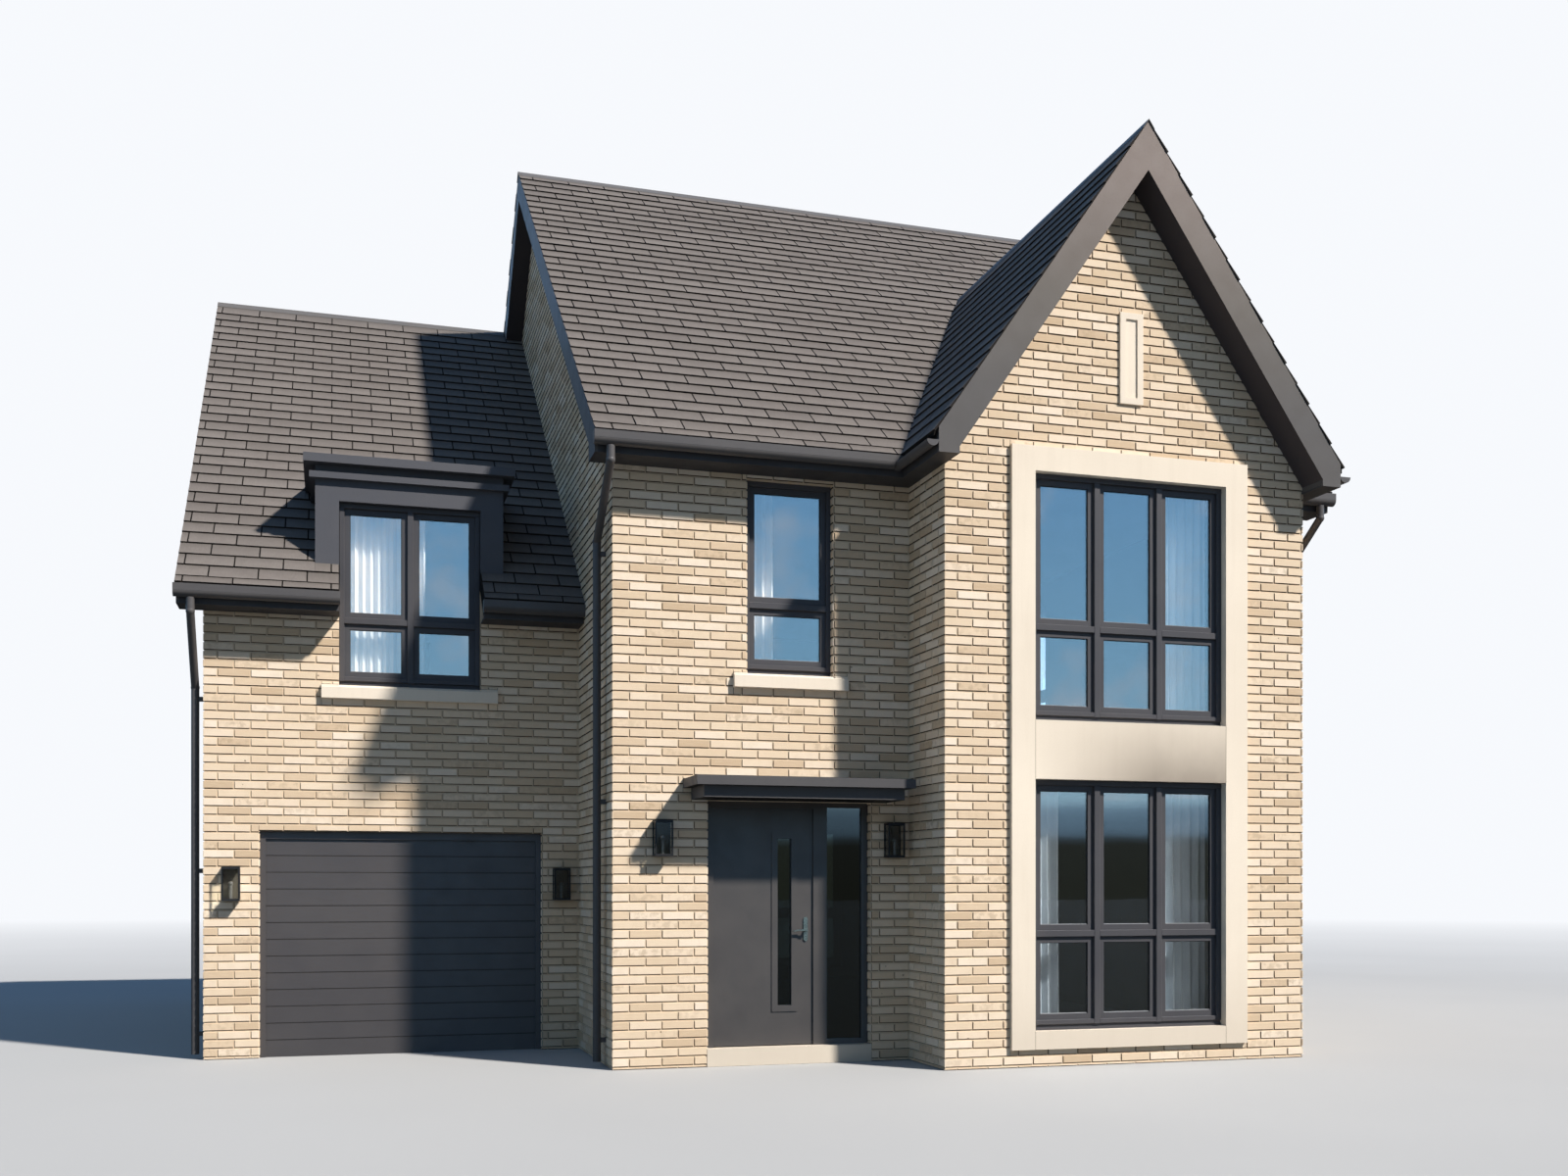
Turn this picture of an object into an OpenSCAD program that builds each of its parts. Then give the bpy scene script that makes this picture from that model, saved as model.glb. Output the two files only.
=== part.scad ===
/* [Plan] */
// Width of the garage wing
garage_w = 3255; // [3100:5:3600]
// Width of the main front wall to the left of the gabled bay
front_w = 2590; // [2500:5:2900]
// Width of the gabled bay
bay_w = 3380; // [3200:5:3600]
// Width of the main front wall to the right of the bay
end_w = 430; // [420:5:800]
// Depth of the main block
main_d = 9660; // [9200:10:10200]
// Distance that the bay stands in front of the main wall
bay_out = 790; // [650:5:950]
// Distance that the garage wing stands behind the main wall
wing_back = 1740; // [1500:5:1900]
// Thickness of the outer walls
wall_t = 300; // [280:5:330]

/* [Storeys] */
// Height of the ground floor over the ground
floor_z = 147; // [120:1:160]
// Height of the garage floor over the ground
garage_floor_z = 40; // [20:5:50]
// Height of the upper floor over the ground
upper_z = 2800; // [2780:5:2840]
// Depth of the upper floor with its ceiling below
upper_t = 250; // [220:5:270]
// Height of the upper ceiling over the ground
ceiling_z = 5200; // [5180:5:5215]
// Thickness of the upper ceiling
ceiling_t = 100; // [80:5:120]

/* [Roof] */
// Height of the main and bay roof surfaces over the faces of the walls
eave_z = 5410; // [5400:5:5450]
// Height of the wing roof surface over the face of its front wall
wing_eave_z = 4350; // [4280:5:4400]
// Pitch of the main and wing roofs in degrees
main_pitch = 40.25; // [38:0.25:42]
// Pitch of the bay roof in degrees
bay_pitch = 55.2; // [52:0.1:58]
// Upright depth of the whole roof build-up
roof_v = 210; // [180:5:240]
// Upright depth of the layer of tiles
tile_v = 33; // [28:1:40]
// Reach of the main eaves in front of the wall
over = 305; // [285:5:305]
// Reach of the tiles past the fascia into the gutter
tile_lip = 52; // [44:1:56]
// Reach of the verges past the side walls
verge = 200; // [160:5:260]
// Reach of the bay's verge in front of its wall
bay_verge = 300; // [240:5:340]
// Reach of the ridge caps past a bargeboard
verge_lap = 10; // [8:1:20]
// Width of a bargeboard, square to the slope
barge_w = 215; // [190:5:230]
// Upright drop from the roof surface to the top of a bargeboard
barge_drop = 8; // [6:1:14]
// Thickness of fascias and bargeboards
board_t = 25; // [18:1:30]
// Thickness of the soffit boards
soffit_t = 12; // [9:1:15]
// Drop from the roof surface over the wall face to the soffit
soffit_drop = 465; // [455:5:490]
// Reach of a ridge cap down each slope
cap_w = 90; // [60:5:130]
// Upright thickness of a ridge cap
cap_v = 10; // [8:1:20]

/* [Rainwater] */
// Outer radius of the gutters
gutter_r = 50; // [48:1:56]
// Thickness of the gutters
gutter_t = 4; // [3:0.5:6]
// Depth of the upright sides of the deep gutters over their round foot
gutter_h = 60; // [52:1:64]
// Drop from the roof surface over a wall face to the edge of its gutter
gutter_drop = 311; // [306:1:316]
// Gap between the end of a gutter and the tiles
gutter_gap = 4; // [3:1:8]
// Radius of the downpipes
pipe_r = 34; // [30:1:38]
// Extra radius of the sockets at a pipe's knees
knee = 3; // [2:1:6]
// Gap between a downpipe and its wall
pipe_gap = 48; // [30:1:56]
// Distance from the main front corners to their downpipes
pipe_back = 300; // [200:5:400]
// Distance from the wing's front corner to its downpipe
wing_pipe_back = 115; // [50:5:200]
// Distance from the rear corners to their downpipes
rear_pipe_in = 220; // [150:5:400]
// Distance from the soffit down to a downpipe's upper knee
neck_drop = 70; // [45:5:80]
// Height at which a downpipe reaches its wall
neck_z = 4370; // [4200:10:4450]
// Height at which the wing's downpipe reaches its wall
wing_neck_z = 3230; // [3100:10:3400]
// Height of the open end of a downpipe
shoe_z = 40; // [20:5:80]
// Height of a pipe clip
clip_h = 40; // [30:1:50]

/* [Upper windows] */
// Height of the sill line of the upper windows
win_z = 3285; // [3260:5:3300]
// Height of the upper windows
win_h = 1630; // [1600:5:1640]
// Height of the transom over the foot of these windows
transom_z = 585; // [500:5:700]
// Width of the landing window
landing_w = 772; // [700:2:900]
// Width of the dormer window
dormer_w = 1234; // [1100:2:1300]
// Distance from the wing's left corner to the middle of the dormer
dormer_c = 1735; // [1700:5:1800]
// Depth of the reveals in brick
reveal = 80; // [60:5:100]
// Depth of the stone sills
sill_h = 125; // [100:5:140]
// Reach of the sills in front of the wall
sill_out = 40; // [30:1:50]
// Fall of the sills' weathered top
sill_fall = 20; // [10:1:25]
// Length of the landing window's sill past its opening
sill_over = 115; // [80:5:130]
// Length of the dormer's sill past its opening
dormer_sill_over = 150; // [100:5:180]

/* [Window frames] */
// Depth of the frames
frame_d = 70; // [60:1:80]
// Width of the outer frame
frame_w = 45; // [40:1:55]
// Extra height of the rail at the foot of a frame
foot_rail = 40; // [30:1:50]
// Height of the lip at the foot of a frame
lip_h = 20; // [14:1:24]
// Reach of the lip in front of the frame
lip_out = 12; // [8:1:16]
// Width of mullions and transoms
bar_w = 55; // [45:1:65]
// Width of a sash
sash_w = 48; // [40:1:55]
// Depth of a sash
sash_d = 54; // [46:1:56]
// Step from the frame's face back to the sash
sash_back = 8; // [4:1:12]
// Thickness of the glass units
glass_t = 24; // [20:1:28]
// Step from the sash's face back to the glass
glass_back = 14; // [10:1:18]

/* [Bay windows] */
// Width of the bay windows
bay_win_w = 1804; // [1700:2:1900]
// Height of the sill line of the lower bay window
low_z = 299; // [280:1:320]
// Height of the lower bay window
low_h = 2091; // [2050:1:2100]
// Height of the sill line of the upper bay window
high_z = 2880; // [2860:1:2900]
// Height of the upper bay window
high_h = 2061; // [2030:1:2080]
// Height of the lower window's transom over its foot
low_transom_z = 805; // [700:5:900]
// Height of the upper window's transom over its foot
high_transom_z = 782; // [700:2:900]
// Depth of these windows behind the face of the brick
bay_reveal = 45; // [35:1:45]

/* [Stone] */
// Width of the jambs of the stone surround
jamb_w = 213; // [180:1:240]
// Height of its head over the upper window
head_h = 205; // [180:1:215]
// Height of its foot under the lower window
foot_h = 152; // [130:1:160]
// Reach of the surround in front of the brick
stone_out = 45; // [30:1:50]
// Depth of the surround behind the face of the brick
stone_d = 116; // [116:1:140]
// Width of the plaque in the gable
plaque_w = 217; // [180:1:260]
// Height of the plaque
plaque_h = 770; // [700:5:850]
// Height of the plaque's foot over the ground
plaque_z = 5575; // [5450:5:5650]
// Thickness of the plaque
plaque_t = 30; // [20:1:40]
// Margin round the plaque's sunk field
plaque_rim = 54; // [40:1:65]
// Depth of the sunk field
plaque_sink = 14; // [8:1:18]

/* [Dormer] */
// Width of the panels beside the dormer window
cheek_w = 203; // [150:1:230]
// Depth of the beam over the dormer window
beam_d = 200; // [150:5:260]
// Height of the underside of the dormer's flat roof
dormer_top_z = 5225; // [5220:5:5260]
// Thickness of the flat roof
dormer_roof_t = 75; // [60:5:90]
// Reach of the flat roof past the panels
dormer_roof_out = 100; // [80:5:130]
// Height of the foot of the moulding below the flat roof
mould_z = 5100; // [5080:5:5120]
// Height of the moulding
mould_h = 55; // [40:1:65]
// Reach of the moulding past the panels
mould_out = 50; // [30:1:60]

/* [Front door] */
// Distance from the main left corner to the middle of the door
door_c = 1512; // [1480:2:1530]
// Width of the doorway
door_w = 1449; // [1420:1:1470]
// Height of the doorway over the threshold
door_h = 2067; // [2040:1:2100]
// Width of the door frame's jambs
door_jamb = 60; // [50:1:65]
// Height of the door frame's head
door_head = 40; // [30:1:50]
// Depth of the door frame
door_frame_d = 80; // [75:1:90]
// Width of the post between leaf and sidelight
door_post = 105; // [90:1:120]
// Height of the rail under the sidelight
side_rail = 45; // [35:1:60]
// Width of the leaf
leaf_w = 897; // [860:1:910]
// Thickness of the leaf
leaf_t = 60; // [50:1:62]
// Thickness of the stop in front of the leaf
stop_t = 12; // [8:1:14]
// Overlap of the stop over the leaf's edge
stop_w = 10; // [8:1:14]
// Gap between leaf and stop
stop_gap = 5; // [5:0.5:6]
// Gap at the hinged edge
hinge_gap = 6; // [5:0.5:8]
// Gap at the lock edge
lock_gap = 8; // [7:0.5:10]
// Gap at the head and the threshold
head_gap = 8; // [6:0.5:10]
// Width of the glass slot in the leaf
slot_w = 122; // [100:1:150]
// Height of the glass slot
slot_h = 1417; // [1200:1:1500]
// Distance from the hinged edge to the glass slot
slot_x = 573; // [500:1:600]
// Height of the slot over the foot of the leaf
slot_z = 333; // [280:1:400]
// Width of the bead round the slot
bead_w = 52; // [40:1:60]
// Thickness of the bead
bead_t = 8; // [5:1:10]
// Radius of the hinge knuckles
knuckle_r = 8; // [7:0.5:10]
// Height of one hinge knuckle
knuckle_h = 50; // [40:1:60]
// Running gap between the knuckles of a hinge
knuckle_gap = 0.4; // [0.3:0.1:0.6]
// Length of a hinge plate
hinge_plate = 34; // [28:1:40]
// Heights of the hinges over the foot of the leaf
hinge_zs = [220, 960, 1700];
// Distance from the lock edge to the handle
handle_in = 76; // [60:1:90]
// Height of the lever over the foot of the leaf
handle_z = 970; // [900:5:1050]
// Height of the handle's plate
plate_h = 210; // [180:5:240]
// Width of the handle's plate
plate_w = 38; // [30:1:45]
// Thickness of the handle's plate
plate_t = 9; // [6:1:12]
// Length of the lever
lever_l = 122; // [100:1:135]
// Half the depth of the lever at its root
lever_r = 9; // [7:0.5:11]
// Radius of the lever's neck
neck_r = 11; // [9:0.5:13]
// Reach of the lever in front of the plate
lever_out = 42; // [35:1:50]

/* [Canopy] */
// Height of the underside of the canopy
canopy_z = 2216; // [2216:1:2260]
// Height of the canopy's lower box
canopy_box_h = 96; // [80:1:110]
// Thickness of the canopy's slab
canopy_t = 75; // [60:1:90]
// Reach of the slab in front of the wall
canopy_out = 524; // [450:2:600]
// Length of the slab past each side of the doorway
canopy_over = 206; // [180:2:230]
// Step from the slab's edge in to the box
canopy_in = 72; // [50:1:90]
// Reach of the threshold stone in front of the wall
step_out = 12; // [5:1:30]

/* [Garage door] */
// Distance from the wing's left corner to the middle of the garage door
garage_c = 1678; // [1640:2:1690]
// Width of the garage doorway
garage_door_w = 2466; // [2400:2:2480]
// Height of the garage doorway
garage_door_h = 1986; // [1950:1:2050]
// Width of the garage door frame's jambs
garage_jamb = 55; // [45:1:70]
// Height of its head
garage_head = 68; // [50:1:80]
// Depth of the frame
garage_frame_d = 90; // [80:1:110]
// Depth of the frame behind the face of the brick
garage_reveal = 50; // [30:1:70]
// Step from the frame's face back to the door
panel_back = 20; // [10:1:30]
// Thickness of the door
panel_t = 40; // [35:1:45]
// Number of planks in the door
planks = 13; // [9:1:15]
// Width of the groove between planks
groove_w = 10; // [6:1:14]
// Depth of the groove
groove_d = 7; // [4:1:10]

/* [Lanterns] */
// Width of a lantern
lantern_w = 150; // [130:1:170]
// Depth of a lantern
lantern_d = 128; // [110:1:140]
// Height of a lantern
lantern_h = 295; // [260:5:320]
// Thickness of a lantern's back plate
lantern_back = 14; // [10:1:18]
// Thickness of a lantern's corner posts
lantern_post = 12; // [10:1:16]
// Height of a lantern's roof and floor
lantern_cap = 20; // [14:1:26]
// Thickness of a lantern's glass
lantern_glass_t = 3; // [2:0.5:4]
// Radius of a lantern's lamp
lamp_r = 15; // [12:1:20]
// Extra radius of the lamp's round end
bulb = 6; // [4:1:9]
// Height of a lantern's lamp
lamp_h = 130; // [90:5:140]
// Height of the lanterns beside the front door
lantern_z = 1746; // [1650:2:1850]
// Height of the lanterns beside the garage door
wing_lantern_z = 1373; // [1300:1:1500]
// Distance from the doorway to the middle of the left lantern
lantern_left = 388; // [330:2:450]
// Distance from the doorway to the middle of the right lantern
lantern_right = 188; // [150:2:230]
// Distance from the wing's left corner to the middle of its lantern
lantern_wing = 220; // [190:2:240]
// Distance from the main wall to the middle of the lantern beside it
lantern_inner = 177; // [120:1:190]

/* [Hidden] */

brick = "burlywood";
stone = "cornsilk";
slate = "dimgray";
dark = "darkslategray";
pale = "gainsboro";
glassy = "lightblue";
steel = "silver";

// Lines of the plan, with the origin in the middle of the footprint
house_w = garage_w + front_w + bay_w + end_w;
house_d = main_d + bay_out;
x_left = -house_w / 2;
x_main = x_left + garage_w;
x_bay = x_main + front_w;
x_bay_r = x_bay + bay_w;
x_right = house_w / 2;
x_apex = (x_bay + x_bay_r) / 2;
y_bay = -house_d / 2;
y_main = y_bay + bay_out;
y_wing = y_main + wing_back;
y_rear = house_d / 2;
y_ridge = (y_main + y_rear) / 2;

// Roof surfaces as heights over the plan
tm = tan(main_pitch);
tb = tan(bay_pitch);
ridge_z = eave_z + (y_rear - y_ridge) * tm;
bay_ridge_z = eave_z + bay_w / 2 * tb;
function front_z(y) = ridge_z - tm * (y_ridge - y);
function rear_z(y) = ridge_z - tm * (y - y_ridge);
function wing_z(y) = wing_eave_z + tm * (y - y_wing);
function wing_y(z) = y_wing + (z - wing_eave_z) / tm;
function bay_z(x) = bay_ridge_z - tb * abs(x - x_apex);
y_wing_ridge = round(10 * (ridge_z - wing_eave_z + tm * (y_ridge + y_wing)) / (2 * tm)) / 10;
wing_ridge_z = wing_z(y_wing_ridge);

// The valleys run straight in plan from the end of the bay's ridge
y_valley = y_ridge - (ridge_z - bay_ridge_z) / tm;
bay_ratio = tm / tb;
over_b = round(over * bay_ratio);
lip_b = round(tile_lip * bay_ratio);
barge_v = barge_w / cos(main_pitch);
barge_vb = barge_w / cos(bay_pitch);
soffit_z = eave_z - soffit_drop;
wing_soffit_z = wing_eave_z - soffit_drop;
gutter_z = eave_z - gutter_drop;
wing_gutter_z = wing_eave_z - gutter_drop;
gutter_end = verge + verge_lap + gutter_gap + gutter_t;
lap = 1;
// Fitting gap under what follows the slope of a roof
seat = 0.3;
under = roof_v + seat;

// Middles and sides of the openings
x_dormer = x_left + dormer_c;
dormer_x0 = x_dormer - dormer_w / 2;
dormer_x1 = x_dormer + dormer_w / 2;
x_door = x_main + door_c;
door_x0 = x_door - door_w / 2;
door_x1 = x_door + door_w / 2;
door_top_z = floor_z + door_h;
x_garage = x_left + garage_c;
garage_x0 = x_garage - garage_door_w / 2;
garage_x1 = x_garage + garage_door_w / 2;
landing_x0 = x_door - landing_w / 2;
bay_win_x0 = x_apex - bay_win_w / 2;
low_top_z = low_z + low_h;
high_top_z = high_z + high_h;
ground_win_z = low_top_z - win_h;
stone_foot_z = low_z - foot_h;
stone_top_z = high_top_z + head_h;
y_dormer_back = floor(wing_y(dormer_top_z));

// Front door, from the frame's front face inwards
y_door = y_main + reveal;
leaf_x0 = door_x0 + door_jamb + hinge_gap;
leaf_z0 = floor_z + head_gap;
leaf_h = door_h - door_head - 2 * head_gap;
leaf_y0 = y_door + stop_t + stop_gap;
leaf_y1 = leaf_y0 + leaf_t;
post_x0 = leaf_x0 + leaf_w + lock_gap;
side_x0 = post_x0 + door_post;
side_x1 = door_x1 - door_jamb;
hinge_x = leaf_x0 - hinge_gap / 2;
hinge_y = y_door + door_frame_d + knuckle_r;

module block(x0, x1, y0, y1, z0, z1) {
  translate([x0, y0, z0]) cube([x1 - x0, y1 - y0, z1 - z0]);
}

// An outline given as [y, z] points, carried along X
module along_x(x0, x1, points) {
  translate([x0, 0, 0]) rotate([90, 0, 90]) linear_extrude(x1 - x0) polygon(points);
}

// An outline given as [x, z] points, carried along Y
module along_y(y0, y1, points) {
  translate([0, y1, 0]) rotate([90, 0, 0]) linear_extrude(y1 - y0) polygon(points);
}

// Everything in front of the two valleys, which the bay's roof covers
module bay_wedge() {
  run = y_valley - y_bay + 2 * bay_verge;
  translate([0, 0, -lap]) linear_extrude(ridge_z + roof_v)
    polygon([[x_apex, y_valley],
      [x_apex - run * bay_ratio, y_valley - run], [x_apex + run * bay_ratio, y_valley - run]]);
}

// Floors and ceiling
module room_plan(z0, z1) {
  block(x_main + wall_t, x_right - wall_t, y_main + wall_t, y_rear - wall_t, z0, z1);
  block(x_bay + wall_t, x_bay_r - wall_t, y_bay + wall_t, y_main + wall_t, z0, z1);
}
module ground_floor() color(pale) {
  room_plan(0, floor_z);
  block(x_left + wall_t, x_main, y_wing + wall_t, y_rear - wall_t, 0, garage_floor_z);
  block(garage_x0, garage_x1, y_wing + garage_reveal + garage_frame_d, y_wing + wall_t, 0, garage_floor_z);
}
module first_floor() color(pale) {
  room_plan(upper_z - upper_t, upper_z);
  block(x_left + wall_t, x_main, y_wing + wall_t, y_rear - wall_t, upper_z - upper_t, upper_z);
}
module upper_ceiling() color(pale) {
  room_plan(ceiling_z, ceiling_z + ceiling_t);
  along_x(x_left + wall_t, x_main,
    [[wing_y(ceiling_z + under), ceiling_z], [y_rear - wall_t, ceiling_z],
     [y_rear - wall_t, ceiling_z + ceiling_t],
     [wing_y(ceiling_z + ceiling_t + under), ceiling_z + ceiling_t]]);
}

// Walls
module garage_front_wall() color(brick) difference() {
  along_x(x_left + wall_t, x_main,
    [[y_wing, 0], [y_wing + wall_t, 0],
     [y_wing + wall_t, wing_z(y_wing + wall_t) - under], [y_wing, wing_eave_z - under]]);
  block(garage_x0, garage_x1, y_wing - lap, y_wing + wall_t + lap, -lap, garage_door_h);
  block(dormer_x0, dormer_x1, y_wing - lap, y_wing + wall_t + lap, win_z, eave_z);
}
module garage_side_wall() color(brick)
  along_x(x_left, x_left + wall_t,
    [[y_wing, 0], [y_rear, 0], [y_rear, eave_z - under],
     [y_wing_ridge, wing_ridge_z - under], [y_wing, wing_eave_z - under]]);
module rear_wall_part(x0, x1)
  along_x(x0, x1,
    [[y_rear - wall_t, 0], [y_rear, 0], [y_rear, eave_z - under],
     [y_rear - wall_t, rear_z(y_rear - wall_t) - under]]);
module rear_hole(x, w, z, h)
  block(x - w / 2, x + w / 2, y_rear - wall_t - lap, y_rear + lap, z, z + h);
module garage_rear_wall() color(brick) difference() {
  rear_wall_part(x_left + wall_t, x_main);
  rear_hole(x_dormer, dormer_w, win_z, win_h);
  rear_hole(x_dormer, landing_w, ground_win_z, win_h);
}
module main_left_wall() color(brick) gable_end(x_main);
module gable_end(x0)
  along_x(x0, x0 + wall_t,
    [[y_main, 0], [y_rear, 0], [y_rear, eave_z - under],
     [y_ridge, ridge_z - under], [y_main, eave_z - under]]);
module front_wall_part(x0, x1, z0)
  along_x(x0, x1,
    [[y_main, z0], [y_main + wall_t, z0],
     [y_main + wall_t, front_z(y_main + wall_t) - under], [y_main, eave_z - under]]);
module front_wall_left() color(brick) front_wall_part(x_main + wall_t, door_x0, 0);
module front_wall_over_door() color(brick) difference() {
  front_wall_part(door_x0, door_x1, door_top_z);
  block(landing_x0, landing_x0 + landing_w, y_main - lap, y_main + wall_t + lap, win_z, win_z + win_h);
}
module front_wall_beside_bay() color(brick) {
  front_wall_part(door_x1, x_bay + wall_t, 0);
  front_wall_part(x_bay_r - wall_t, x_right - wall_t, 0);
}
module bay_front_wall() color(brick) difference() {
  along_y(y_bay, y_bay + wall_t,
    [[x_bay, 0], [x_bay_r, 0], [x_bay_r, eave_z - under],
     [x_apex, bay_ridge_z - under], [x_bay, eave_z - under]]);
  block(bay_win_x0 - jamb_w, bay_win_x0 + bay_win_w + jamb_w, y_bay - lap, y_bay + stone_d,
    stone_foot_z, stone_top_z);
  block(bay_win_x0, bay_win_x0 + bay_win_w, y_bay, y_bay + wall_t + lap, low_z, low_top_z);
  block(bay_win_x0, bay_win_x0 + bay_win_w, y_bay, y_bay + wall_t + lap, high_z, high_top_z);
}
module bay_side_walls() color(brick) for (s = [0, 1])
  translate([x_apex, 0, 0]) mirror([s, 0, 0])
    along_y(y_bay + wall_t, y_main,
      [[-bay_w / 2, 0], [-bay_w / 2 + wall_t, 0],
       [-bay_w / 2 + wall_t, bay_z(x_bay + wall_t) - under], [-bay_w / 2, eave_z - under]]);
module right_wall() color(brick) difference() {
  gable_end(x_right - wall_t);
  for (z = [ground_win_z, win_z])
    block(x_right - wall_t - lap, x_right + lap, y_ridge - landing_w / 2, y_ridge + landing_w / 2,
      z, z + win_h);
}
module rear_wall() color(brick) difference() {
  rear_wall_part(x_main + wall_t, x_right - wall_t);
  for (x = [x_door, x_apex]) rear_hole(x, dormer_w, win_z, win_h);
  rear_hole(x_door, dormer_w, ground_win_z, win_h);
  rear_hole(x_apex, bay_win_w, low_z, low_h);
}

// One slope of a roof, as [y, z] outlines of its tiles and of its deck
function tile_outline(s, y, z, reach) =
  let (q = reach + over + tile_lip)
  [[y, z], [y + s * q, z - tm * q], [y + s * q, z - tm * q - tile_v], [y, z - tile_v]];
function deck_outline(s, y, z, reach) =
  let (q = reach + over - board_t)
  [[y, z - tile_v], [y + s * q, z - tm * q - tile_v], [y + s * q, z - tm * q - roof_v], [y, z - roof_v]];
module slope(x0, x1, out0, out1, s, y, z, reach) {
  along_x(x0 - (out0 ? verge - board_t : 0), x1 + (out1 ? verge - board_t : 0),
    tile_outline(s, y, z, reach));
  along_x(x0 - (out0 ? verge - board_t : 0), x1 + (out1 ? verge - board_t : 0),
    deck_outline(s, y, z, reach));
}
module main_roof_front() color(slate) difference() {
  slope(x_main, x_right, true, true, -1, y_ridge, ridge_z, y_ridge - y_main);
  bay_wedge();
}
// The space that the wing's front slope takes under the main verge
module under_wing_slope() {
  reach = 2 * barge_v;
  z = wing_ridge_z + seat;
  along_x(x_main - verge - 2 * verge_lap, x_main,
    [[y_wing_ridge, z], [y_wing_ridge - reach, z - tm * reach],
     [y_wing_ridge - reach, z - tm * reach - 3 * roof_v], [y_wing_ridge, z - tm * reach - 3 * roof_v]]);
}
module main_roof_rear() color(slate) difference() {
  slope(x_main, x_right, true, true, 1, y_ridge, ridge_z, y_rear - y_ridge);
  under_wing_slope();
}
module bay_slope(s) {
  q = bay_w / 2 + over_b;
  y_back = y_valley;
  y_barge = y_bay - bay_verge + board_t;
  intersection() {
    union() {
      along_y(y_barge, y_back,
        [[x_apex, bay_ridge_z], [x_apex + s * (q + lip_b), bay_ridge_z - tb * (q + lip_b)],
         [x_apex + s * (q + lip_b), bay_ridge_z - tb * (q + lip_b) - tile_v],
         [x_apex, bay_ridge_z - tile_v]]);
      along_y(y_barge, y_back,
        [[x_apex, bay_ridge_z - tile_v],
         [x_apex + s * (q - board_t), bay_ridge_z - tb * (q - board_t) - tile_v],
         [x_apex + s * (q - board_t), bay_ridge_z - tb * (q - board_t) - roof_v],
         [x_apex, bay_ridge_z - roof_v]]);
    }
    bay_wedge();
  }
}
module bay_roof_left() color(slate) bay_slope(-1);
module bay_roof_right() color(slate) bay_slope(1);
module garage_roof_front() color(slate) difference() {
  slope(x_left, x_main, true, false, -1, y_wing_ridge, wing_ridge_z, y_wing_ridge - y_wing);
  block(dormer_x0, dormer_x1, y_wing - 2 * over, y_dormer_back, 0, ridge_z);
}
// The rear slope of the wing lies in one plane with the main rear slope
module garage_roof_rear() color(slate) {
  along_x(x_left - verge + board_t, x_main - verge + board_t,
    tile_outline(1, y_wing_ridge, wing_ridge_z, y_rear - y_wing_ridge));
  along_x(x_left - verge + board_t, x_main - verge + board_t,
    deck_outline(1, y_wing_ridge, wing_ridge_z, y_rear - y_wing_ridge));
}

// Folded caps over the ridges
module cap(x0, x1, y, z)
  along_x(x0, x1,
    [[y, z], [y - cap_w, z - tm * cap_w], [y - cap_w, z - tm * cap_w + cap_v], [y, z + cap_v],
     [y + cap_w, z - tm * cap_w + cap_v], [y + cap_w, z - tm * cap_w]]);
module ridge_caps() color(slate) {
  cap_wb = cap_w * bay_ratio;
  z = bay_ridge_z + seat;
  cap(x_main - verge - verge_lap, x_right + verge + verge_lap, y_ridge, ridge_z + seat);
  cap(x_left - verge - verge_lap, x_main - verge - verge_lap, y_wing_ridge, wing_ridge_z + seat);
  intersection() {
    along_y(y_bay - bay_verge - verge_lap, y_valley,
      [[x_apex, z], [x_apex - cap_wb, z - tb * cap_wb], [x_apex - cap_wb, z - tb * cap_wb + cap_v],
       [x_apex, z + cap_v], [x_apex + cap_wb, z - tb * cap_wb + cap_v],
       [x_apex + cap_wb, z - tb * cap_wb]]);
    bay_wedge();
  }
}

// A bargeboard with its boxed foot: from the ridge at [y, z] down to a wall face at a reach
function barge_outline(s, y, z, reach) =
  let (zs = z - tm * reach - soffit_drop)
  [[y, z - barge_drop], [y + s * (reach + over), z - tm * (reach + over) - barge_drop],
   [y + s * (reach + over), zs], [y + s * reach, zs],
   [y + s * reach, z - tm * reach - tile_v - barge_v], [y, z - tile_v - barge_v]];
// The soffit under a verge and the upright board that closes the boxed foot
module verge_soffit(x0, x1, s, y, z, reach) {
  low = tile_v + barge_v;
  zs = z - tm * reach - soffit_drop;
  along_x(x0, x1,
    [[y, z - low], [y + s * reach, z - tm * reach - low], [y + s * reach, zs + soffit_t],
     [y + s * (reach + soffit_t), zs + soffit_t],
     [y + s * (reach + soffit_t), z - tm * (reach + soffit_t) - low + soffit_t],
     [y, z - low + soffit_t]]);
}
module main_right_verge() color(dark) {
  reach = y_rear - y_ridge;
  for (s = [-1, 1]) {
    along_x(x_right + verge - board_t, x_right + verge, barge_outline(s, y_ridge, ridge_z, reach));
    verge_soffit(x_right, x_right + verge - board_t, s, y_ridge, ridge_z, reach);
  }
}
module main_left_verge() color(dark) {
  reach = y_rear - y_ridge;
  top = barge_drop;
  low = tile_v + barge_v;
  y_top = y_wing_ridge - top / (2 * tm) - seat;
  y_low = y_wing_ridge - low / (2 * tm) - seat;
  along_x(x_main - verge, x_main - verge + board_t, barge_outline(-1, y_ridge, ridge_z, reach));
  verge_soffit(x_main - verge + board_t, x_main, -1, y_ridge, ridge_z, reach);
  along_x(x_main - verge, x_main - verge + board_t,
    [[y_ridge, ridge_z - top], [y_top, rear_z(y_top) - top], [y_low, rear_z(y_low) - low],
     [y_ridge, ridge_z - low]]);
  y_in = y_low + soffit_t / (2 * tm);
  along_x(x_main - verge + board_t, x_main,
    [[y_ridge, ridge_z - low], [y_low, rear_z(y_low) - low],
     [y_in, rear_z(y_in) - low + soffit_t], [y_ridge, ridge_z - low + soffit_t]]);
}
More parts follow.
